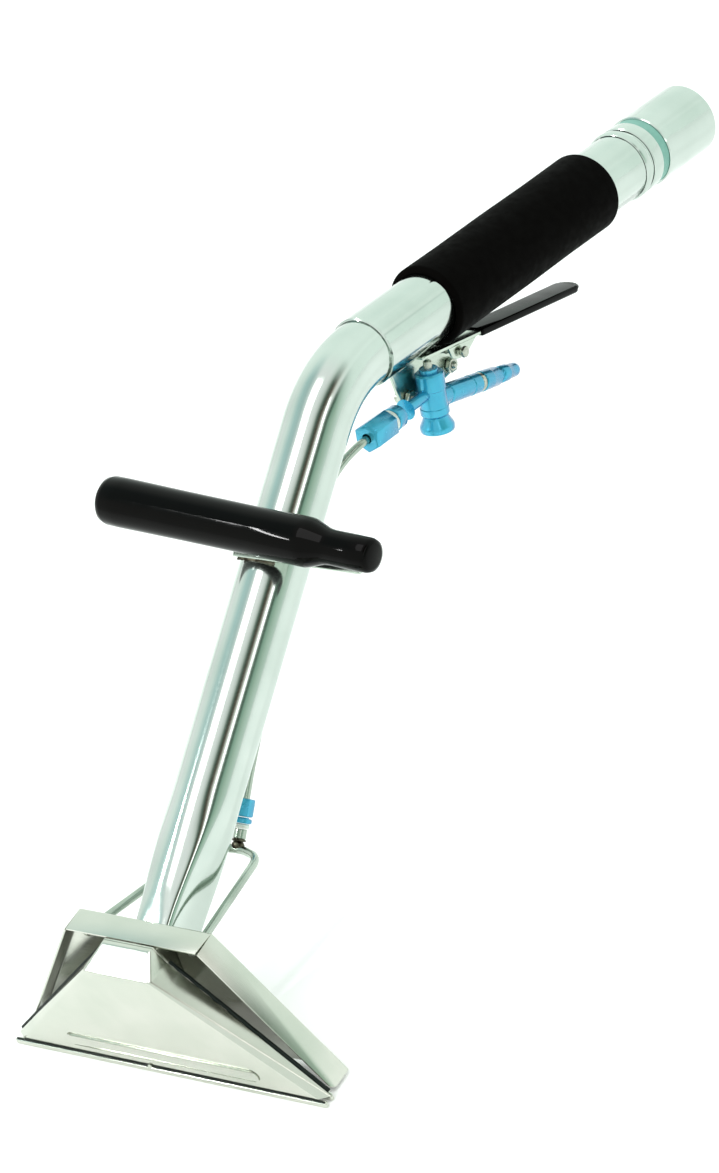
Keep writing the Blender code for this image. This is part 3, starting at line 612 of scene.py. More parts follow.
def shoeRear():
    bm = bmesh.new()
    rows = []
    for z, x, rear in zip(shoe["z"], shoe["x"], shoe["rear"]):
        rows.append([bm.verts.new((a * mm, (rear + 0.3) * mm, z * mm)) for a in (-x, x)])
    for low, high in zip(rows, rows[1:]):
        bm.faces.new((low[0], low[1], high[1], high[0]))
    bmesh.ops.recalc_face_normals(bm, faces=bm.faces)
    for face in bm.faces:
        if face.normal.y < 0:
            face.normal_flip()
    for where, way in portCuts():
        geom = bm.verts[:] + bm.edges[:] + bm.faces[:]
        bmesh.ops.bisect_plane(bm, geom=geom, plane_co=where, plane_no=way)
    bmesh.ops.delete(bm, geom=[f for f in bm.faces if inPort(f)], context="FACES")
    bmesh.ops.solidify(bm, geom=list(bm.faces), thickness=-shoe["sheet"] * mm)
    bmesh.ops.recalc_face_normals(bm, faces=bm.faces)
    soften(bm, 0.25, 2, 40)
    return bm


showPiece("shoeRearWall", shoeRear(), sheetSteel, nodes=["shoe_rear_wall"])

lips = {"front": {"y": (-2.0, 1.0), "node": "front_lip"}, "rear": {"y": (3.7, 6.7), "node": "rear_lip"}}
lipShape = {"x": 104.5, "height": 3.0, "tackX": -12.0}


def lipBar(span):
    r = (span[1] - span[0]) / 2
    mid = (span[0] + span[1]) / 2
    x = lipShape["x"] - r
    outline = []
    for side in (1, -1):
        for i in range(13):
            a = math.radians(-90 + 15 * i)
            outline.append((side * (x + r * math.cos(a)), mid + side * r * math.sin(a)))
    bm = plate(outline, lipShape["height"], Matrix.Translation((0, 0, lipShape["height"] * mm / 2)))
    soften(bm, 0.7, 4, 50)
    return bm


for label, made in lips.items():
    showPiece(label + "Lip", lipBar(made["y"]), sheetSteel, nodes=[made["node"]])


def tack(x, y, z, size):
    bm = bmesh.new()
    bmesh.ops.create_icosphere(bm, subdivisions=4, radius=1.0)
    bmesh.ops.scale(bm, vec=Vector(size) * mm, verts=bm.verts)
    bmesh.ops.translate(bm, vec=Vector((x, y, z)) * mm, verts=bm.verts)
    return bm


# Painted shade: black strips along the shoe's back edges, where they meet the rear wall, and along the gap
# above the front lip, where shade falls
def paintedShadeStripMaterial():
    material, tree, shader, place = startMaterial("paintedShadeSeamStrip", {"Specular IOR Level": 0.2})
    tree.links.new(mixColours(tree, noiseAt(tree, place, 5), "0B120F", "16201B"),
                   shader.inputs["Base Color"])
    tree.links.new(spread(tree, noiseAt(tree, place, 2), 0.35, 0.6), shader.inputs["Roughness"])
    addBump(tree, shader, noiseAt(tree, place, 2.5), 0.1, 0.5)
    return material


shadeStrips = {"radius": 1.25, "high": (23.2, 8.9, 79.6), "low": (102.6, 6.0, 5.4),
           "lip": {"x": 103.2, "step": 3.44, "y": -0.75, "z": 3.4, "radius": 0.5}}


def shadeStripRun(side):
    (a, b, c), (d, e, f) = shadeStrips["high"], shadeStrips["low"]
    points = []
    for i in range(61):
        k = i / 60
        points.append(Vector((side * (a + (d - a) * k), b + (e - b) * k, c + (f - c) * k)) * mm)
    return bead(points, shadeStrips["radius"], 0.05, 12)


# Painted shade: a thin black strip in the gap between the shoe's front face and the front lip.
seam = shadeStrips["lip"]
lipShadeStripPoints = [Vector((seam["x"] - seam["step"] * i, seam["y"], seam["z"])) * mm for i in range(61)]
lipShadeStrip = bead(lipShadeStripPoints, seam["radius"], 0.04, 12)
showPiece("paintedShadeStrips", joined(shadeStripRun(-1), shadeStripRun(1), lipShadeStrip), paintedShadeStripMaterial())
showPiece("lipTack", tack(lipShape["tackX"], -1.2, 2.9, (1.6, 0.75, 1.9)), sheetSteel)

# Spray hood: back plate with turned-forward flanges, open at the mitred corners
hood = {"bottom": (102.3, 2.1), "top": (43.8, 89.1), "front": 9.7, "rear": 26.6, "sheet": 1.2, "bend": 1.6,
        "seam": 0.9, "corner": 4.0}


def sprayHood():
    (bx, bz), (tx, tz) = hood["bottom"], hood["top"]
    bm = bmesh.new()
    corners = [(-bx, bz), (bx, bz), (tx, tz), (-tx, tz)]
    rear = [bm.verts.new((x * mm, hood["rear"] * mm, z * mm)) for x, z in corners]
    bm.faces.new(rear)
    for i, (inA, inB) in ((1, (0.0, 1.0)), (2, (1.0, 1.0)), (3, (1.0, 0.0))):
        a, b = rear[i], rear[(i + 1) % 4]
        run = (b.co - a.co).normalized() * hood["seam"] * mm
        ends = []
        for vert, shift in ((a, inA), (b, -inB)):
            ends.append(bm.verts.new(vert.co + Vector((0, (hood["front"] - hood["rear"]) * mm, 0))
                                     + run * shift))
        bm.faces.new((a, b, ends[1], ends[0]))
    bmesh.ops.recalc_face_normals(bm, faces=bm.faces)
    if bm.faces[:][0].normal.y < 0:
        bmesh.ops.reverse_faces(bm, faces=bm.faces)
    tips = [v for v in bm.verts if v.co.y < hood["front"] * mm + 0.0001 and v.co.z < 10 * mm]
    bmesh.ops.bevel(bm, geom=tips, offset=hood["corner"] * mm, offset_type="OFFSET", segments=5,
                    profile=0.5,
                    affect="VERTICES", material=-1, clamp_overlap=True)
    folds = [e for e in bm.edges if len(e.link_faces) == 2]
    soften(bm, hood["bend"], 5, edges=folds)
    for where, way in portCuts():
        plateFaces = [f for f in bm.faces if f.normal.y > 0.99]
        plateVerts = {v for f in plateFaces for v in f.verts}
        plateEdges = {e for f in plateFaces for e in f.edges}
        geom = plateVerts | plateEdges | set(plateFaces)
        bmesh.ops.bisect_plane(bm, geom=list(geom), plane_co=where, plane_no=way)
    gone = [f for f in bm.faces if f.normal.y > 0.99 and inPort(f)]
    bmesh.ops.delete(bm, geom=gone, context="FACES")
    bmesh.ops.solidify(bm, geom=list(bm.faces), thickness=hood["sheet"] * mm)
    bmesh.ops.recalc_face_normals(bm, faces=bm.faces)
    soften(bm, 0.25, 2, 55)
    return bm


showPiece("sprayHood", sprayHood(), sheetSteel, nodes=["spray_hood"])


throat = {"x": 13, "bottom": (44, 7.0), "top": (84, 9.3), "rear": 25.1, "sheet": 1.2, "bend": 2.0}


def throatDuct():
    bm = bmesh.new()
    low, high = [], []
    x, bottom, top = throat["x"], throat["bottom"], throat["top"]
    for x, z, frontY in ((-x, *bottom), (x, *bottom), (x, *top), (-x, *top)):
        low.append(bm.verts.new((x * mm, frontY * mm, z * mm)))
        high.append(bm.verts.new((x * mm, throat["rear"] * mm, z * mm)))
    for i in range(4):
        j = (i + 1) % 4
        bm.faces.new((low[i], low[j], high[j], high[i]))
    bmesh.ops.recalc_face_normals(bm, faces=bm.faces)
    if sum(f.normal.dot(f.calc_center_median() - Vector((0, 0.016, 0.064))) for f in bm.faces) < 0:
        bmesh.ops.reverse_faces(bm, faces=bm.faces)
    soften(bm, throat["bend"], 4, 40)
    bmesh.ops.solidify(bm, geom=list(bm.faces), thickness=throat["sheet"] * mm)
    bmesh.ops.recalc_face_normals(bm, faces=bm.faces)
    return bm


showPiece("throatDuct", throatDuct(), sheetSteel, nodes=["throat"])
print("head made")

# Cross handle: steel bar, dipped grip, strap and welds
cross = {"t": 237.1, "p": 36.0, "turn": 3.4, "from": -95.8, "to": 86.3, "radius": 13.8, "small": 9.6,
         "step": 47.5,
         "bar": 6.0, "strap": {"x": (-14, 72), "t": -3.0, "width": 18, "sheet": 2.0, "tabX": 67.0,
                               "tabRise": 5.0, "tab": 8.8}}
crossTurn = math.radians(cross["turn"])
crossAxis = (across * math.cos(crossTurn) - lowAlong * math.sin(crossTurn)).normalized()
crossPlace = aim(lowPoint(cross["t"], cross["p"]), crossAxis, lowOut)


def crossGrip():
    c = cross
    r, small, step = c["radius"], c["small"], c["step"]
    bore = c["bar"] + 0.3
    start, end = c["from"], c["to"]
    profile = [
        (0, end), (small - 3.0, end), (small - 0.9, end - 0.8), (small, end - 3.2), (small + 0.1, end - 15),
               (small, step + 12),
        (small + 0.3, step + 8), (small + 1.3, step + 4.5), (r - 1.0, step - 1.0), (r - 0.2, step - 4.0),
               (r, step - 8),
        (r - 0.5, 10), (r - 0.35, -40), (r, start + 14), (r, start + 5), (r - 0.8, start + 2.0),
               (r - 2.6, start + 0.4),
        (r - 5, start), (0, start),
    ]
    bm = spun(profile, crossPlace, False, 96)
    inside = spun([(0, end - 4), (bore, end - 4), (bore, start + 4), (0, start + 4)], crossPlace, False, 48)
    bmesh.ops.reverse_faces(inside, faces=inside.faces)
    return joined(bm, inside)


showPiece("crossGrip", crossGrip(), dippedVinyl, nodes=["cross_handle_grip"], smoothBelow=60)


def crossBar():
    bm = spun([(0, cross["to"] - 4.5), (6, cross["to"] - 4.5), (6, cross["from"] + 4.5),
               (0, cross["from"] + 4.5)], crossPlace)
    soften(bm, 0.8, 2)
    return bm


showPiece("crossBar", crossBar(), thinSteel, nodes=["cross_handle_bar"])


def crossStrap():
    s = cross["strap"]
    low = wand["tubeRadius"] + 0.3
    a, b = s["x"]
    w = s["width"] / 2
    place = axes(lowPoint(cross["t"] + s["t"], low + s["sheet"] / 2), across, lowAlong,
                 across.cross(lowAlong))
    strap = plate([(a, -w), (b - 3, -w), (b, -w + 3), (b, w - 3), (b - 3, w), (a, w)], s["sheet"], place)
    soften(strap, 0.4, 3)
    tabX = s["tabX"]
    tabPlace = axes(lowPoint(cross["t"] - tabX * math.tan(crossTurn), low + s["tabRise"], tabX), across,
                    lowAlong,
                    across.cross(lowAlong))
    tab = plate([(-5, -4), (5, -4), (5, 4), (-5, 4)], s["tab"], tabPlace)
    soften(tab, 0.3, 2)
    return joined(strap, tab)


showPiece("crossStrap", crossStrap(), stripSteel, nodes=["cross_handle_bracket"])


def strapWeld(side):
    t = cross["t"] + cross["strap"]["t"] + side * (cross["strap"]["width"] / 2 + 0.2)
    points = []
    for i in range(25):
        x = -12.0 + 24.0 * i / 24
        p = math.sqrt(wand["tubeRadius"] ** 2 - x * x) * 0.35 + wand["tubeRadius"] * 0.65
        points.append(lowPoint(t, p + 0.3, x))
    return bead(points, 0.9)


showPiece("strapWelds", joined(strapWeld(-1), strapWeld(1)), weldMetal)
print("cross handle made")

# Valve bracket, retaining plate, bolts, nuts and the trigger's pin
bracket = {
    "x": -4.0, "sheet": 2.0, "pinHole": 2.3, "boltHole": 2.3,
    "outline": [(56, -20.7), (94.2, -20.7), (94.2, -25.2), (112, -28.2), (119.5, -31.5), (121.5, -44.5),
                (117.0, -48.2),
                (104.0, -50.0), (76, -52.0), (64, -49.0)],
    "bolts": ((70.0, -45.0), (113.0, -43.2)), "pivot": (113.0, -34.0),
}


def boredPlate(outline, thickness, place, holes, edge):
    side = place.inverted()
    bm = bmesh.new()
    rim = [bm.verts.new((a * mm, b * mm, -thickness * mm / 2)) for a, b in outline]
    edges = [bm.edges.new(pair) for pair in zip(rim, rim[1:] + rim[:1])]
    for (s, p), radius in holes:
        centre = side @ upPoint(s, p)
        spot = Matrix.Translation((centre.x, centre.y, -thickness * mm / 2))
        ring = bmesh.ops.create_circle(bm, segments=40, radius=radius * mm, cap_ends=False,
                                       matrix=spot)["verts"]
        edges += list({e for v in ring for e in v.link_edges})
    bmesh.ops.triangle_fill(bm, edges=edges, use_beauty=True)
    top = bmesh.ops.extrude_face_region(bm, geom=list(bm.faces))["geom"]
    bmesh.ops.translate(bm, verts=[g for g in top if isinstance(g, bmesh.types.BMVert)],
                        vec=(0, 0, thickness * mm))
    tidyMesh(bm)
    soften(bm, edge, 3, 50)
    bm.transform(place)
    return bm


def sidePlate(outline, thickness, x, holes, edge=0.35):
    place = sidePlane(bendPoint + across * x * mm)
    return boredPlate(outline, thickness, place, holes, edge)


def valveBracket():
    b = bracket
    holes = [(at, b["boltHole"]) for at in b["bolts"]] + [(b["pivot"], b["pinHole"])]
    ear = sidePlate(b["outline"], b["sheet"], b["x"], holes)
    foot = plate([(-4.5, -8), (4.5, -8), (4.5, 8), (-4.5, 8)], 1.6,
                 axes(upPoint(64.2, -21.5, -0.5), across, upAlong, upOut))
    soften(foot, 0.3, 2)
    return joined(ear, foot)


showPiece("valveBracket", valveBracket(), stripSteel, nodes=["valve_bracket"])
retainer = {"outline": [(64.5, -41.0), (110.0, -38.4), (118.5, -39.5), (119.0, -46.5), (112.0, -48.6),
                        (72.0, -50.6),
                        (65.0, -48.0)], "x": -6.3, "sheet": 2.0}
showPiece("valveRetainer", sidePlate(retainer["outline"], retainer["sheet"], retainer["x"],
                                     [(at, bracket["boltHole"]) for at in bracket["bolts"]]), stripSteel,
          nodes=["valve_retainer"])

bolt = {"headHeight": 3.0, "radius": 2.0, "pitch": 0.7, "threadDepth": 0.3, "threadFrom": 5.0, "tip": 12.6,
        "headX": -7.6, "nut": 8.0, "nutHeight": 3.0, "nutBore": 2.15, "nutX": -2.7}


def threaded(z0, z1, radius, pitch, depth):
    out = []
    z = z0
    while z < z1 - pitch:
        out += [(radius - depth, z), (radius, z + pitch * 0.5)]
        z += pitch
    return out + [(radius - depth, z1)]


for label, (s, p) in zip(("front", "rear"), bracket["bolts"]):
    place = aim(upPoint(s, p, bolt["headX"] - bolt["headHeight"]), across, upOut)
    thread = threaded(bolt["threadFrom"], bolt["tip"] - 0.3, bolt["radius"], bolt["pitch"],
                      bolt["threadDepth"])
    shank = spun([(0, bolt["tip"]), (1.4, bolt["tip"])] + thread[::-1]
                 + [(1.95, 4.6), (1.95, 3.0), (3.2, 3.0), (3.55, 2.6), (3.55, 0.7), (3.1, 0.15), (1.6, 0.0),
                    (1.3, 0.7), (0, 0.7)],
                 place, steps=36)
    showPiece(label + "Bolt", shank, platedSteel, nodes=["bracket_bolt_" + label])
    nutPlace = aim(upPoint(s, p, bolt["nutX"]), across, upOut)
    showPiece(label + "Nut", hexBar(bolt["nut"], bolt["nutHeight"], bolt["nutBore"], nutPlace, 0.45),
              platedSteel,
              nodes=["bracket_nut_" + label])

pinProfile = [(0, 10.8), (1.9, 10.8), (3.0, 10.3), (3.4, 9.5), (3.4, 9.0), (2.0, 9.0), (2.0, -8.6),
              (1.6, -9.0), (0, -9.0)]
showPiece("triggerPin", spun(pinProfile, aim(upPoint(*bracket["pivot"]), across, upAlong), steps=48),
          platedSteel,
          nodes=["trigger_pin"])


# Trigger lever: a pressed channel on the pin, and its dipped grip
lever = {"slope": -8.6, "width": 14.0, "sheet": 1.8, "s": (76.0, 238.0), "grip": (134.0, 241.0),
         "skin": 1.3,
         "webAt": (133.4, -31.7), "cheekX": 6.2, "cheek": 1.5, "pinHole": 2.1}
leverAngle = math.radians(lever["slope"])
leverAlong = upAlong * math.cos(leverAngle) + upOut * math.sin(leverAngle)
leverOut = upOut * math.cos(leverAngle) - upAlong * math.sin(leverAngle)
pivotS, pivotP = bracket["pivot"]
webS, webP = lever["webAt"]
webLine = webP - (pivotS - webS) * math.tan(-leverAngle) - pivotP


def leverSide(x):
    return axes(upPoint(pivotS, pivotP, x), leverAlong, leverOut, across)


def leverFlat(a, p):
    return axes(upPoint(pivotS, pivotP) + (leverAlong * a + leverOut * p) * mm, across, leverAlong,
                across.cross(leverAlong))


def triggerLever():
    s0, s1 = (v - pivotS for v in lever["s"])
    half = lever["width"] / 2
    web = plate([(-2.45, s0), (half - 1.2, s0), (half, s0 + 1.2), (half, s1 - 3), (half - 3, s1),
                 (-half + 3, s1), (-half, s1 - 3),
                 (-half, -12.4), (-5.6, -12.4), (-5.6, 10.5), (-2.45, 10.5)], lever["sheet"],
                leverFlat(0, webLine))
    soften(web, 0.35, 2)
    parts = [web]
    cheek = [(-8.5, -2.0), (-3.0, -3.6), (3.0, -3.6), (8.5, -1.0), (16.0, webLine - 0.9),
             (-12.0, webLine - 0.9)]
    for x in (-lever["cheekX"], lever["cheekX"]):
        parts.append(boredPlate(cheek, lever["cheek"], leverSide(x), [(bracket["pivot"], lever["pinHole"])],
                                0.3))
    return joined(*parts)


showPiece("triggerLever", triggerLever(), stripSteel, "trigger", ["trigger_lever"])


def triggerGrip():
    g0, g1 = (v - pivotS for v in lever["grip"])
    skin = lever["skin"] + lever["sheet"] / 2
    width = lever["width"] + 2 * lever["skin"]
    half = width / 2
    outline = [(half, g0)]
    for i in range(19):
        a = math.radians(10 * i)
        outline.append((half * math.cos(a), g1 - half + half * math.sin(a)))
    outline.append((-half, g0))
    bm = plate(outline, 2 * skin, leverFlat(0, webLine))
    soften(bm, 1.6, 5, 50)
    return bm


showPiece("triggerGrip", triggerGrip(), dippedVinyl, "trigger", ["trigger_grip"], 60)
print("trigger made")

# Valve and what screws into its arms
valve = {"at": (79.5, -48.5), "x": 7.0, "inletSlope": -12.2, "outletP": -43.5, "stemFoot": -45.5,
         "capTop": -57.8}
valveSpot = upPoint(*valve["at"], valve["x"])
inletAngle = math.radians(valve["inletSlope"])
inletAlong = upAlong * math.cos(inletAngle) + upOut * math.sin(inletAngle)


def onInlet(start):
    return aim(valveSpot + inletAlong * start * mm, inletAlong)


def onOutlet(s):
    return aim(upPoint(s, valve["outletP"], valve["x"]), -upAlong)


def valveBody():
    trunk = spun([(2.56, 4.0), (2.56, 19.0), (5.0, 19.0), (5.4, 18.7), (5.4, 16.8), (7.3, 16.6),
                  (8.3, 15.8), (8.4, 15.2),
                  (8.4, 6.6), (8.0, 6.2), (8.0, -4.2), (8.4, -4.6), (8.4, -8.4), (7.9, -9.0), (0, -9.0)],
                 aim(valveSpot, upOut), steps=96)
    inlet = spun([(0, 0), (5.4, 0), (5.4, 13), (5.9, 13.6), (6.0, 14.2), (6.0, 33), (5.6, 33.6),
                  (5.6, 35.6), (6.0, 36.2),
                  (6.0, 43.4), (5.5, 44.0), (0, 44.0)], onInlet(0), steps=72)
    outlet = spun([(0, 0), (3.3, 0), (3.3, 24.5), (4.6, 26.2), (6.2, 26.8), (0, 26.8)],
                  onOutlet(valve["at"][0]), steps=72)
    hexNut = hexBar(13.1, 8.2, 0.0, onOutlet(52.9), 0.8)
    mouth = spun([(0, 34.6), (6.5, 34.6), (6.9, 35.4), (6.9, 40.9), (6.4, 41.5), (0, 41.5)],
                 onOutlet(valve["at"][0]), steps=72)
    spigot = spun([(0, 0), (4.8, 0), (5.0, 0.3), (5.0, 9.5), (0, 9.5)],
                  aim(upPoint(87.5, -46.5, -2.7), across, upOut), steps=48)
    return joined(trunk, inlet, outlet, hexNut, mouth, spigot)


showPiece("valveBody", valveBody(), blueLacquerEdgeShaded, nodes=["valve_body"])
stemSpot = upPoint(valve["at"][0], valve["stemFoot"], valve["x"])
stemProfile = [(0, 20.3), (1.9, 20.3), (2.4, 19.9), (2.5, 19.4), (2.5, 0.4), (2.1, 0), (0, 0)]
showPiece("valveStem", spun(stemProfile, aim(stemSpot, upOut), steps=48),
          platedSteel, "stem", ["valve_stem"])
capProfile = [(0, 0), (7.0, 0), (7.4, -0.4), (7.7, -2.0), (9.7, -5.9), (10.0, -6.7), (10.0, -8.9),
              (9.7, -9.5), (9.0, -9.9),
              (7.6, -9.9), (7.2, -9.3), (6.4, -9.1), (0, -9.1)]
showPiece("valveCap", spun(capProfile, aim(upPoint(valve["at"][0], valve["capTop"], valve["x"]), upOut),
                           steps=96), blueLacquerEdgeShaded,
          nodes=["valve_cap"])
showPiece("inletFerrule", spun([(0, 3.2), (5.1, 3.2), (5.6, 2.7), (5.6, 0.5), (5.1, 0), (0, 0)],
                               onInlet(44.3), steps=72),
          platedSteel, nodes=["inlet_ferrule"])
plugProfile = [(0, 38.0), (1.6, 38.0), (2.5, 37.4), (3.4, 36.6), (4.1, 35.2), (4.3, 33.0), (4.3, 27.2),
               (4.9, 26.2), (5.0, 25.6),
               (5.0, 20.4), (4.8, 19.8), (4.1, 19.2), (4.1, 16.8), (5.7, 15.2), (5.8, 14.6), (5.8, 8.4),
               (5.95, 8.0), (6.0, 7.6),
               (6.0, 0.5), (5.6, 0), (0, 0)]
showPiece("inletPlug", spun(plugProfile, onInlet(47.8), steps=72), blueLacquerEdgeShaded,
          nodes=["inlet_plug"])
tapeTop = [(0, 3.3), (5.9, 3.3), (6.3, 3.0), (6.5, 2.5), (6.3, 2.0), (6.55, 1.5), (6.35, 1.0), (6.5, 0.5),
           (5.9, 0), (0, 0)]
showPiece("upperTape", spun(tapeTop, onOutlet(37.7), steps=72), threadTape, nodes=["upper_tape"])
showPiece("upperNut", hexBar(15.1, 21.1, 2.9, onOutlet(34.1), 1.0), blueLacquerEdgeShaded,
          nodes=["upper_nut"])
print("valve made")

# Solution line down to the tee over the head, and the yoke that feeds both jets
line = {"radius": 2.38, "tee": (0, 110.6, 67.4), "end": (0, 128.6, 84.7), "jetX": 34.6, "jetZ": 81.5,
        "corner": (20.0, 97.6, 70.0)}
teeSpot = Vector(line["tee"]) * mm
lineAlong = (Vector(line["end"]) * mm - teeSpot).normalized()


def onLine(start):
    return aim(teeSpot + lineAlong * start * mm, lineAlong)


def easedPath(p0, d0, p1, d1, steps):
    out = []
    for i in range(steps + 1):
        k = i / steps
        out.append(p0 * (2 * k**3 - 3 * k**2 + 1) + d0 * (k**3 - 2 * k**2 + k) + p1 * (-2 * k**3 + 3 * k**2)
                   + d1 * (k**3 - k**2))
    return out


linePath = [upPoint(31.0, valve["outletP"], valve["x"])]
bow = easedPath(upPoint(11.0, valve["outletP"] - 0.4), -upAlong * 90 * mm, teeSpot + lineAlong * 36 * mm,
                -lineAlong * 130 * mm, 90)
linePath += [q + across * valve["x"] * (1 - ease(i / 90, 0.0, 0.24)) * mm for i, q in enumerate(bow)]
linePath.append(teeSpot + lineAlong * 16 * mm)
showPiece("solutionTube", sleeveOf(linePath, line["radius"], 32), thinSteel,
          nodes=["solution_tube"])
fittings = {
    "teeFitting": ([(0, 9), (3.2, 9), (3.55, 8.7), (3.6, 8.2), (3.6, 4.0), (3.0, 3.2), (3.0, 2.8),
                    (0, 2.8)], 0, thinSteel, "steel",
                   "tee_fitting"),
    "lowerTape": ([(0, 2.6), (4.1, 2.6), (4.5, 2.2), (4.3, 1.6), (4.55, 1.0), (4.4, 0.4), (4.0, 0), (0, 0)],
                  9.3, threadTape, "tape",
                  "lower_tape"),
    "lowerRing": ([(0, 3.3), (3.6, 3.3), (3.6, 2.9), (4.9, 2.7), (5.4, 2.2), (5.4, 0.5), (5.0, 0), (0, 0)],
                  12.2, blueLacquerEdgeShaded, "blue",
                  "lower_ring"),
}
for name, (profile, start, finish, slotName, node) in fittings.items():
    showPiece(name, spun(profile, onLine(start), steps=64), finish, nodes=[node])
showPiece("lowerNut", hexBar(9.6, 10.0, 2.9, onLine(15.8), 0.7), blueLacquerEdgeShaded, nodes=["lower_nut"])


def rounded(points, radius, steps=10):
    out = [points[0]]
    for a, b, c in zip(points, points[1:], points[2:]):
        u, v = (a - b).normalized(), (c - b).normalized()
        cut = min(radius * mm, (a - b).length / 2.05, (c - b).length / 2.05)
        for i in range(steps + 1):
            k = i / steps
            out.append(b + u * cut * (1 - k) ** 2 + v * cut * k**2)
    return out + [points[-1]]


yokeMid = Vector((0, teeSpot.y - 1.6 * mm, teeSpot.z - 1.6 * mm))
jetIn = Vector((line["jetX"], 22.5, line["jetZ"])) * mm
yokeCorner = Vector(line["corner"]) * mm
yokeCorner += (yokeCorner - jetIn).normalized() * 5 * mm
halfYoke = [Vector((4 * mm, yokeMid.y, yokeMid.z)), yokeCorner, jetIn]
otherHalf = [Vector((-q.x, q.y, q.z)) for q in halfYoke[::-1]]
showPiece("jetYoke", sleeveOf(rounded(otherHalf + halfYoke, 9.0), line["radius"], 32), thinSteel,
          nodes=["jet_yoke"])
teeRing = bead(ringPoints(onLine(2.9), 3.1, 24), 0.8, 0.2, 12)
showPiece("teeWeld", joined(teeRing, tack(0, 110.4, 67.2, (3.9, 3.0, 3.3))), weldMetal)
for label, side in (("Left", -1), ("Right", 1)):
    place = aim(Vector((side * line["jetX"], 17.6, line["jetZ"] + 4.5)) * mm, Vector((0, 0.25, 1)))
    nozzle = spun([(0, 0), (3.3, 0), (3.6, -0.3), (3.6, -3.1), (3.3, -3.6), (2.4, -5.4), (1.0, -5.6),
                   (0.8, -5.1), (0, -5.0)],
                  place, steps=48)
    showPiece("nozzle" + label, nozzle, platedSteel, nodes=["spray_nozzle_" + label.lower()])
print("solution line made")


# Pale studio sweep, soft boxes and the camera
def floorMaterial():
    material, tree, shader, place = startMaterial("paleStudioFloor", {
        "Roughness": 0.9, "Specular IOR Level": 0.1,
        "Emission Color": toLinear("FFFFFF"), "Emission Strength": 0.16,
    })
    tree.links.new(mixColours(tree, noiseAt(tree, place, 220), "FBFBFA", "F8F8F7"),
                   shader.inputs["Base Color"])
    return material


studio = {
    "floor": 10.0, "air": 1.12, "rear": ("F2FFF8", 1.08), "front": ("F6FFFA", 1.0),
    "walls": ((0, "D6E6DC"), (12, "BCD4C4"), (24, "93B3A0"), (29, "3E5749"), (33, "6F8577"), (38, "FFFFFF"),
              (44, "F1EDE6"),
              (49, "6A5F52"), (54, "4A4A40"), (60, "65786C"), (67, "DDE2DD"), (76, "FFFFFF"),
              (106, "FFFFFF"), (121, "BAD3D2"),
              (134, "BFDDDC"), (154, "F4FFFA"), (180, "FFFFFF")),
    "boxes": (
        ("overhead", (-0.25, -0.15, 2.2), (0, 0.25, 0.1), (0.75, 1.5), 9),
        ("rightBox", (1.35, -0.2, 1.2), (0, 0.3, 0.15), (0.16, 1.5), 1.6),
        ("stripBox", (-0.844, -0.557, 1.154), (0.038, 0.193, 0.224), (0.45, 0.028), 5.5,
         (-0.07, 0.85, 0.5)),
    ),
}


def studioFloor():
    bm = bmesh.new()
    bmesh.ops.create_grid(bm, x_segments=1, y_segments=1, size=studio["floor"] / 2)
    mesh = bpy.data.meshes.new("studioFloor")
    bm.to_mesh(mesh)
    bm.free()
    mesh.materials.append(floorMaterial())
    floor = bpy.data.objects.new("studioFloor", mesh)
    scene.collection.objects.link(floor)
    return floor


def softBox(name, place, aimAt, size, power, side=(1, 0, 0)):
    data = bpy.data.lights.new(name, "AREA")
    data.shape = "RECTANGLE"
    data.size, data.size_y = size
    data.energy = power
    lamp = bpy.data.objects.new(name, data)
    scene.collection.objects.link(lamp)
    back = (Vector(place) - Vector(aimAt)).normalized()
    lamp.matrix_world = aim(Vector(place), back, Vector(side))
    return lamp


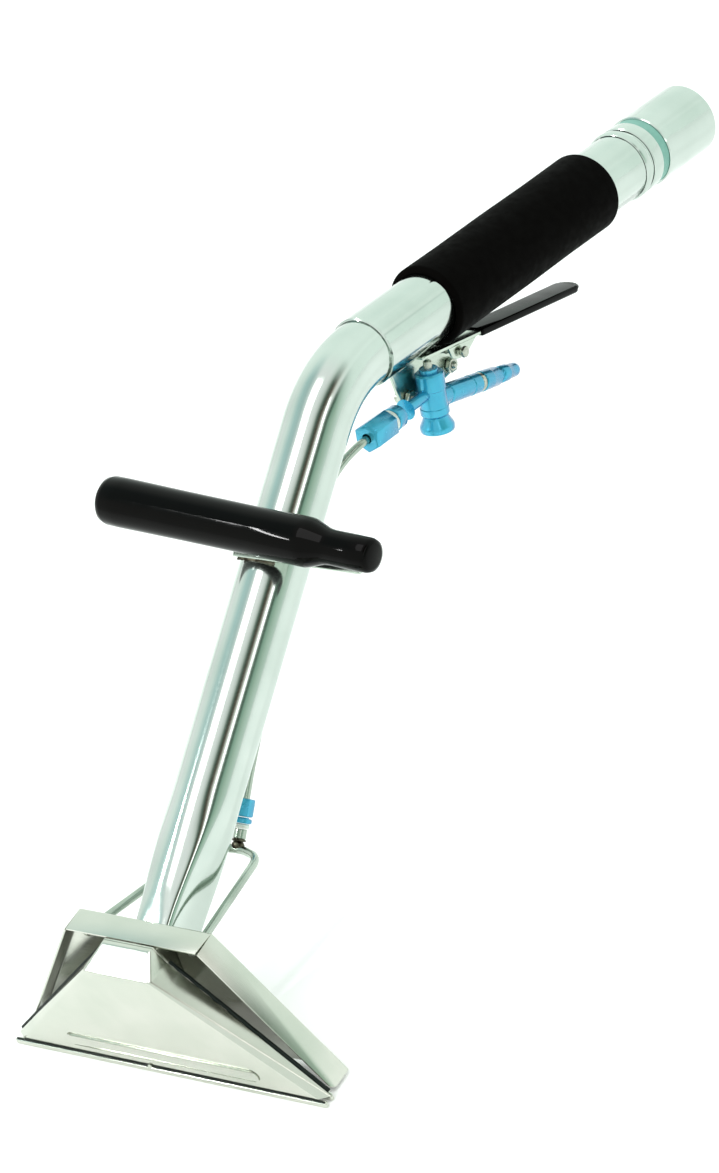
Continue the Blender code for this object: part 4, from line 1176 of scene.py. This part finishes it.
def studioAir():
    # White walls with dark gaps between them: round steel shows the gaps as streaks along its length.
    world = bpy.data.worlds.new("studioAir")
    world.use_nodes = True
    tree = world.node_tree
    way = addNode(tree, "ShaderNodeSeparateXYZ", {},
                  {0: addNode(tree, "ShaderNodeTexCoord").outputs["Generated"]})
    turn = addNode(tree, "ShaderNodeMath", {"operation": "ARCTAN2"}, {0: way.outputs[2], 1: way.outputs[0]})
    share = addNode(tree, "ShaderNodeMapRange", {1: 0.0, 2: math.pi, 3: 0.0, 4: 1.0}, {0: turn.outputs[0]})
    ramp = addNode(tree, "ShaderNodeValToRGB", {}, {0: share.outputs[0]})
    stops = ramp.color_ramp.elements
    while len(stops) > 1:
        stops.remove(stops[0])
    first = True
    for degrees, tint in studio["walls"]:
        stop = stops[0] if first else stops.new(degrees / 180)
        stop.position = degrees / 180
        stop.color = toLinear(tint)
        first = False
    seen = ramp.outputs[0]
    for low, high, (tint, gain) in ((0.2, 0.5, studio["rear"]), (-0.4, -0.65, studio["front"])):
        share = addNode(tree, "ShaderNodeMapRange", {1: low, 2: high, 3: 0.0, 4: 0.95}, {0: way.outputs[1]})
        mix = addNode(tree, "ShaderNodeMix", {"data_type": "RGBA"}, {0: share.outputs[0], 6: seen})
        mix.inputs[7].default_value = [c * gain for c in toLinear(tint)]
        seen = mix.outputs[2]
    air = tree.nodes["Background"]
    tree.links.new(seen, air.inputs["Color"])
    air.inputs["Strength"].default_value = studio["air"]
    return world


scene.world = studioAir()
boxes = [softBox(*made) for made in studio["boxes"]]

view = {"target": (0.1252, 0.1391, 0.2477), "distance": 2.8351, "azimuth": 43.2, "elevation": 35.5,
        "roll": -20.3, "lens": 168.8}


def studioCamera():
    data = bpy.data.cameras.new("studioCamera")
    data.lens = view["lens"]
    data.sensor_width = 36
    data.clip_start = 0.05
    camera = bpy.data.objects.new("studioCamera", data)
    scene.collection.objects.link(camera)
    az, el, roll = (math.radians(view[k]) for k in ("azimuth", "elevation", "roll"))
    back = Vector((math.sin(az) * math.cos(el), -math.cos(az) * math.cos(el), math.sin(el)))
    side = (-back).cross(Vector((0, 0, 1))).normalized()
    over = side.cross(-back)
    right = side * math.cos(roll) + over * math.sin(roll)
    above = over * math.cos(roll) - side * math.sin(roll)
    camera.matrix_world = axes(Vector(view["target"]) + back * view["distance"], right, above, back)
    return camera


camera = studioCamera()
scene.camera = camera
scene.view_settings.view_transform = "Standard"
studioFloor()

print("stage set")
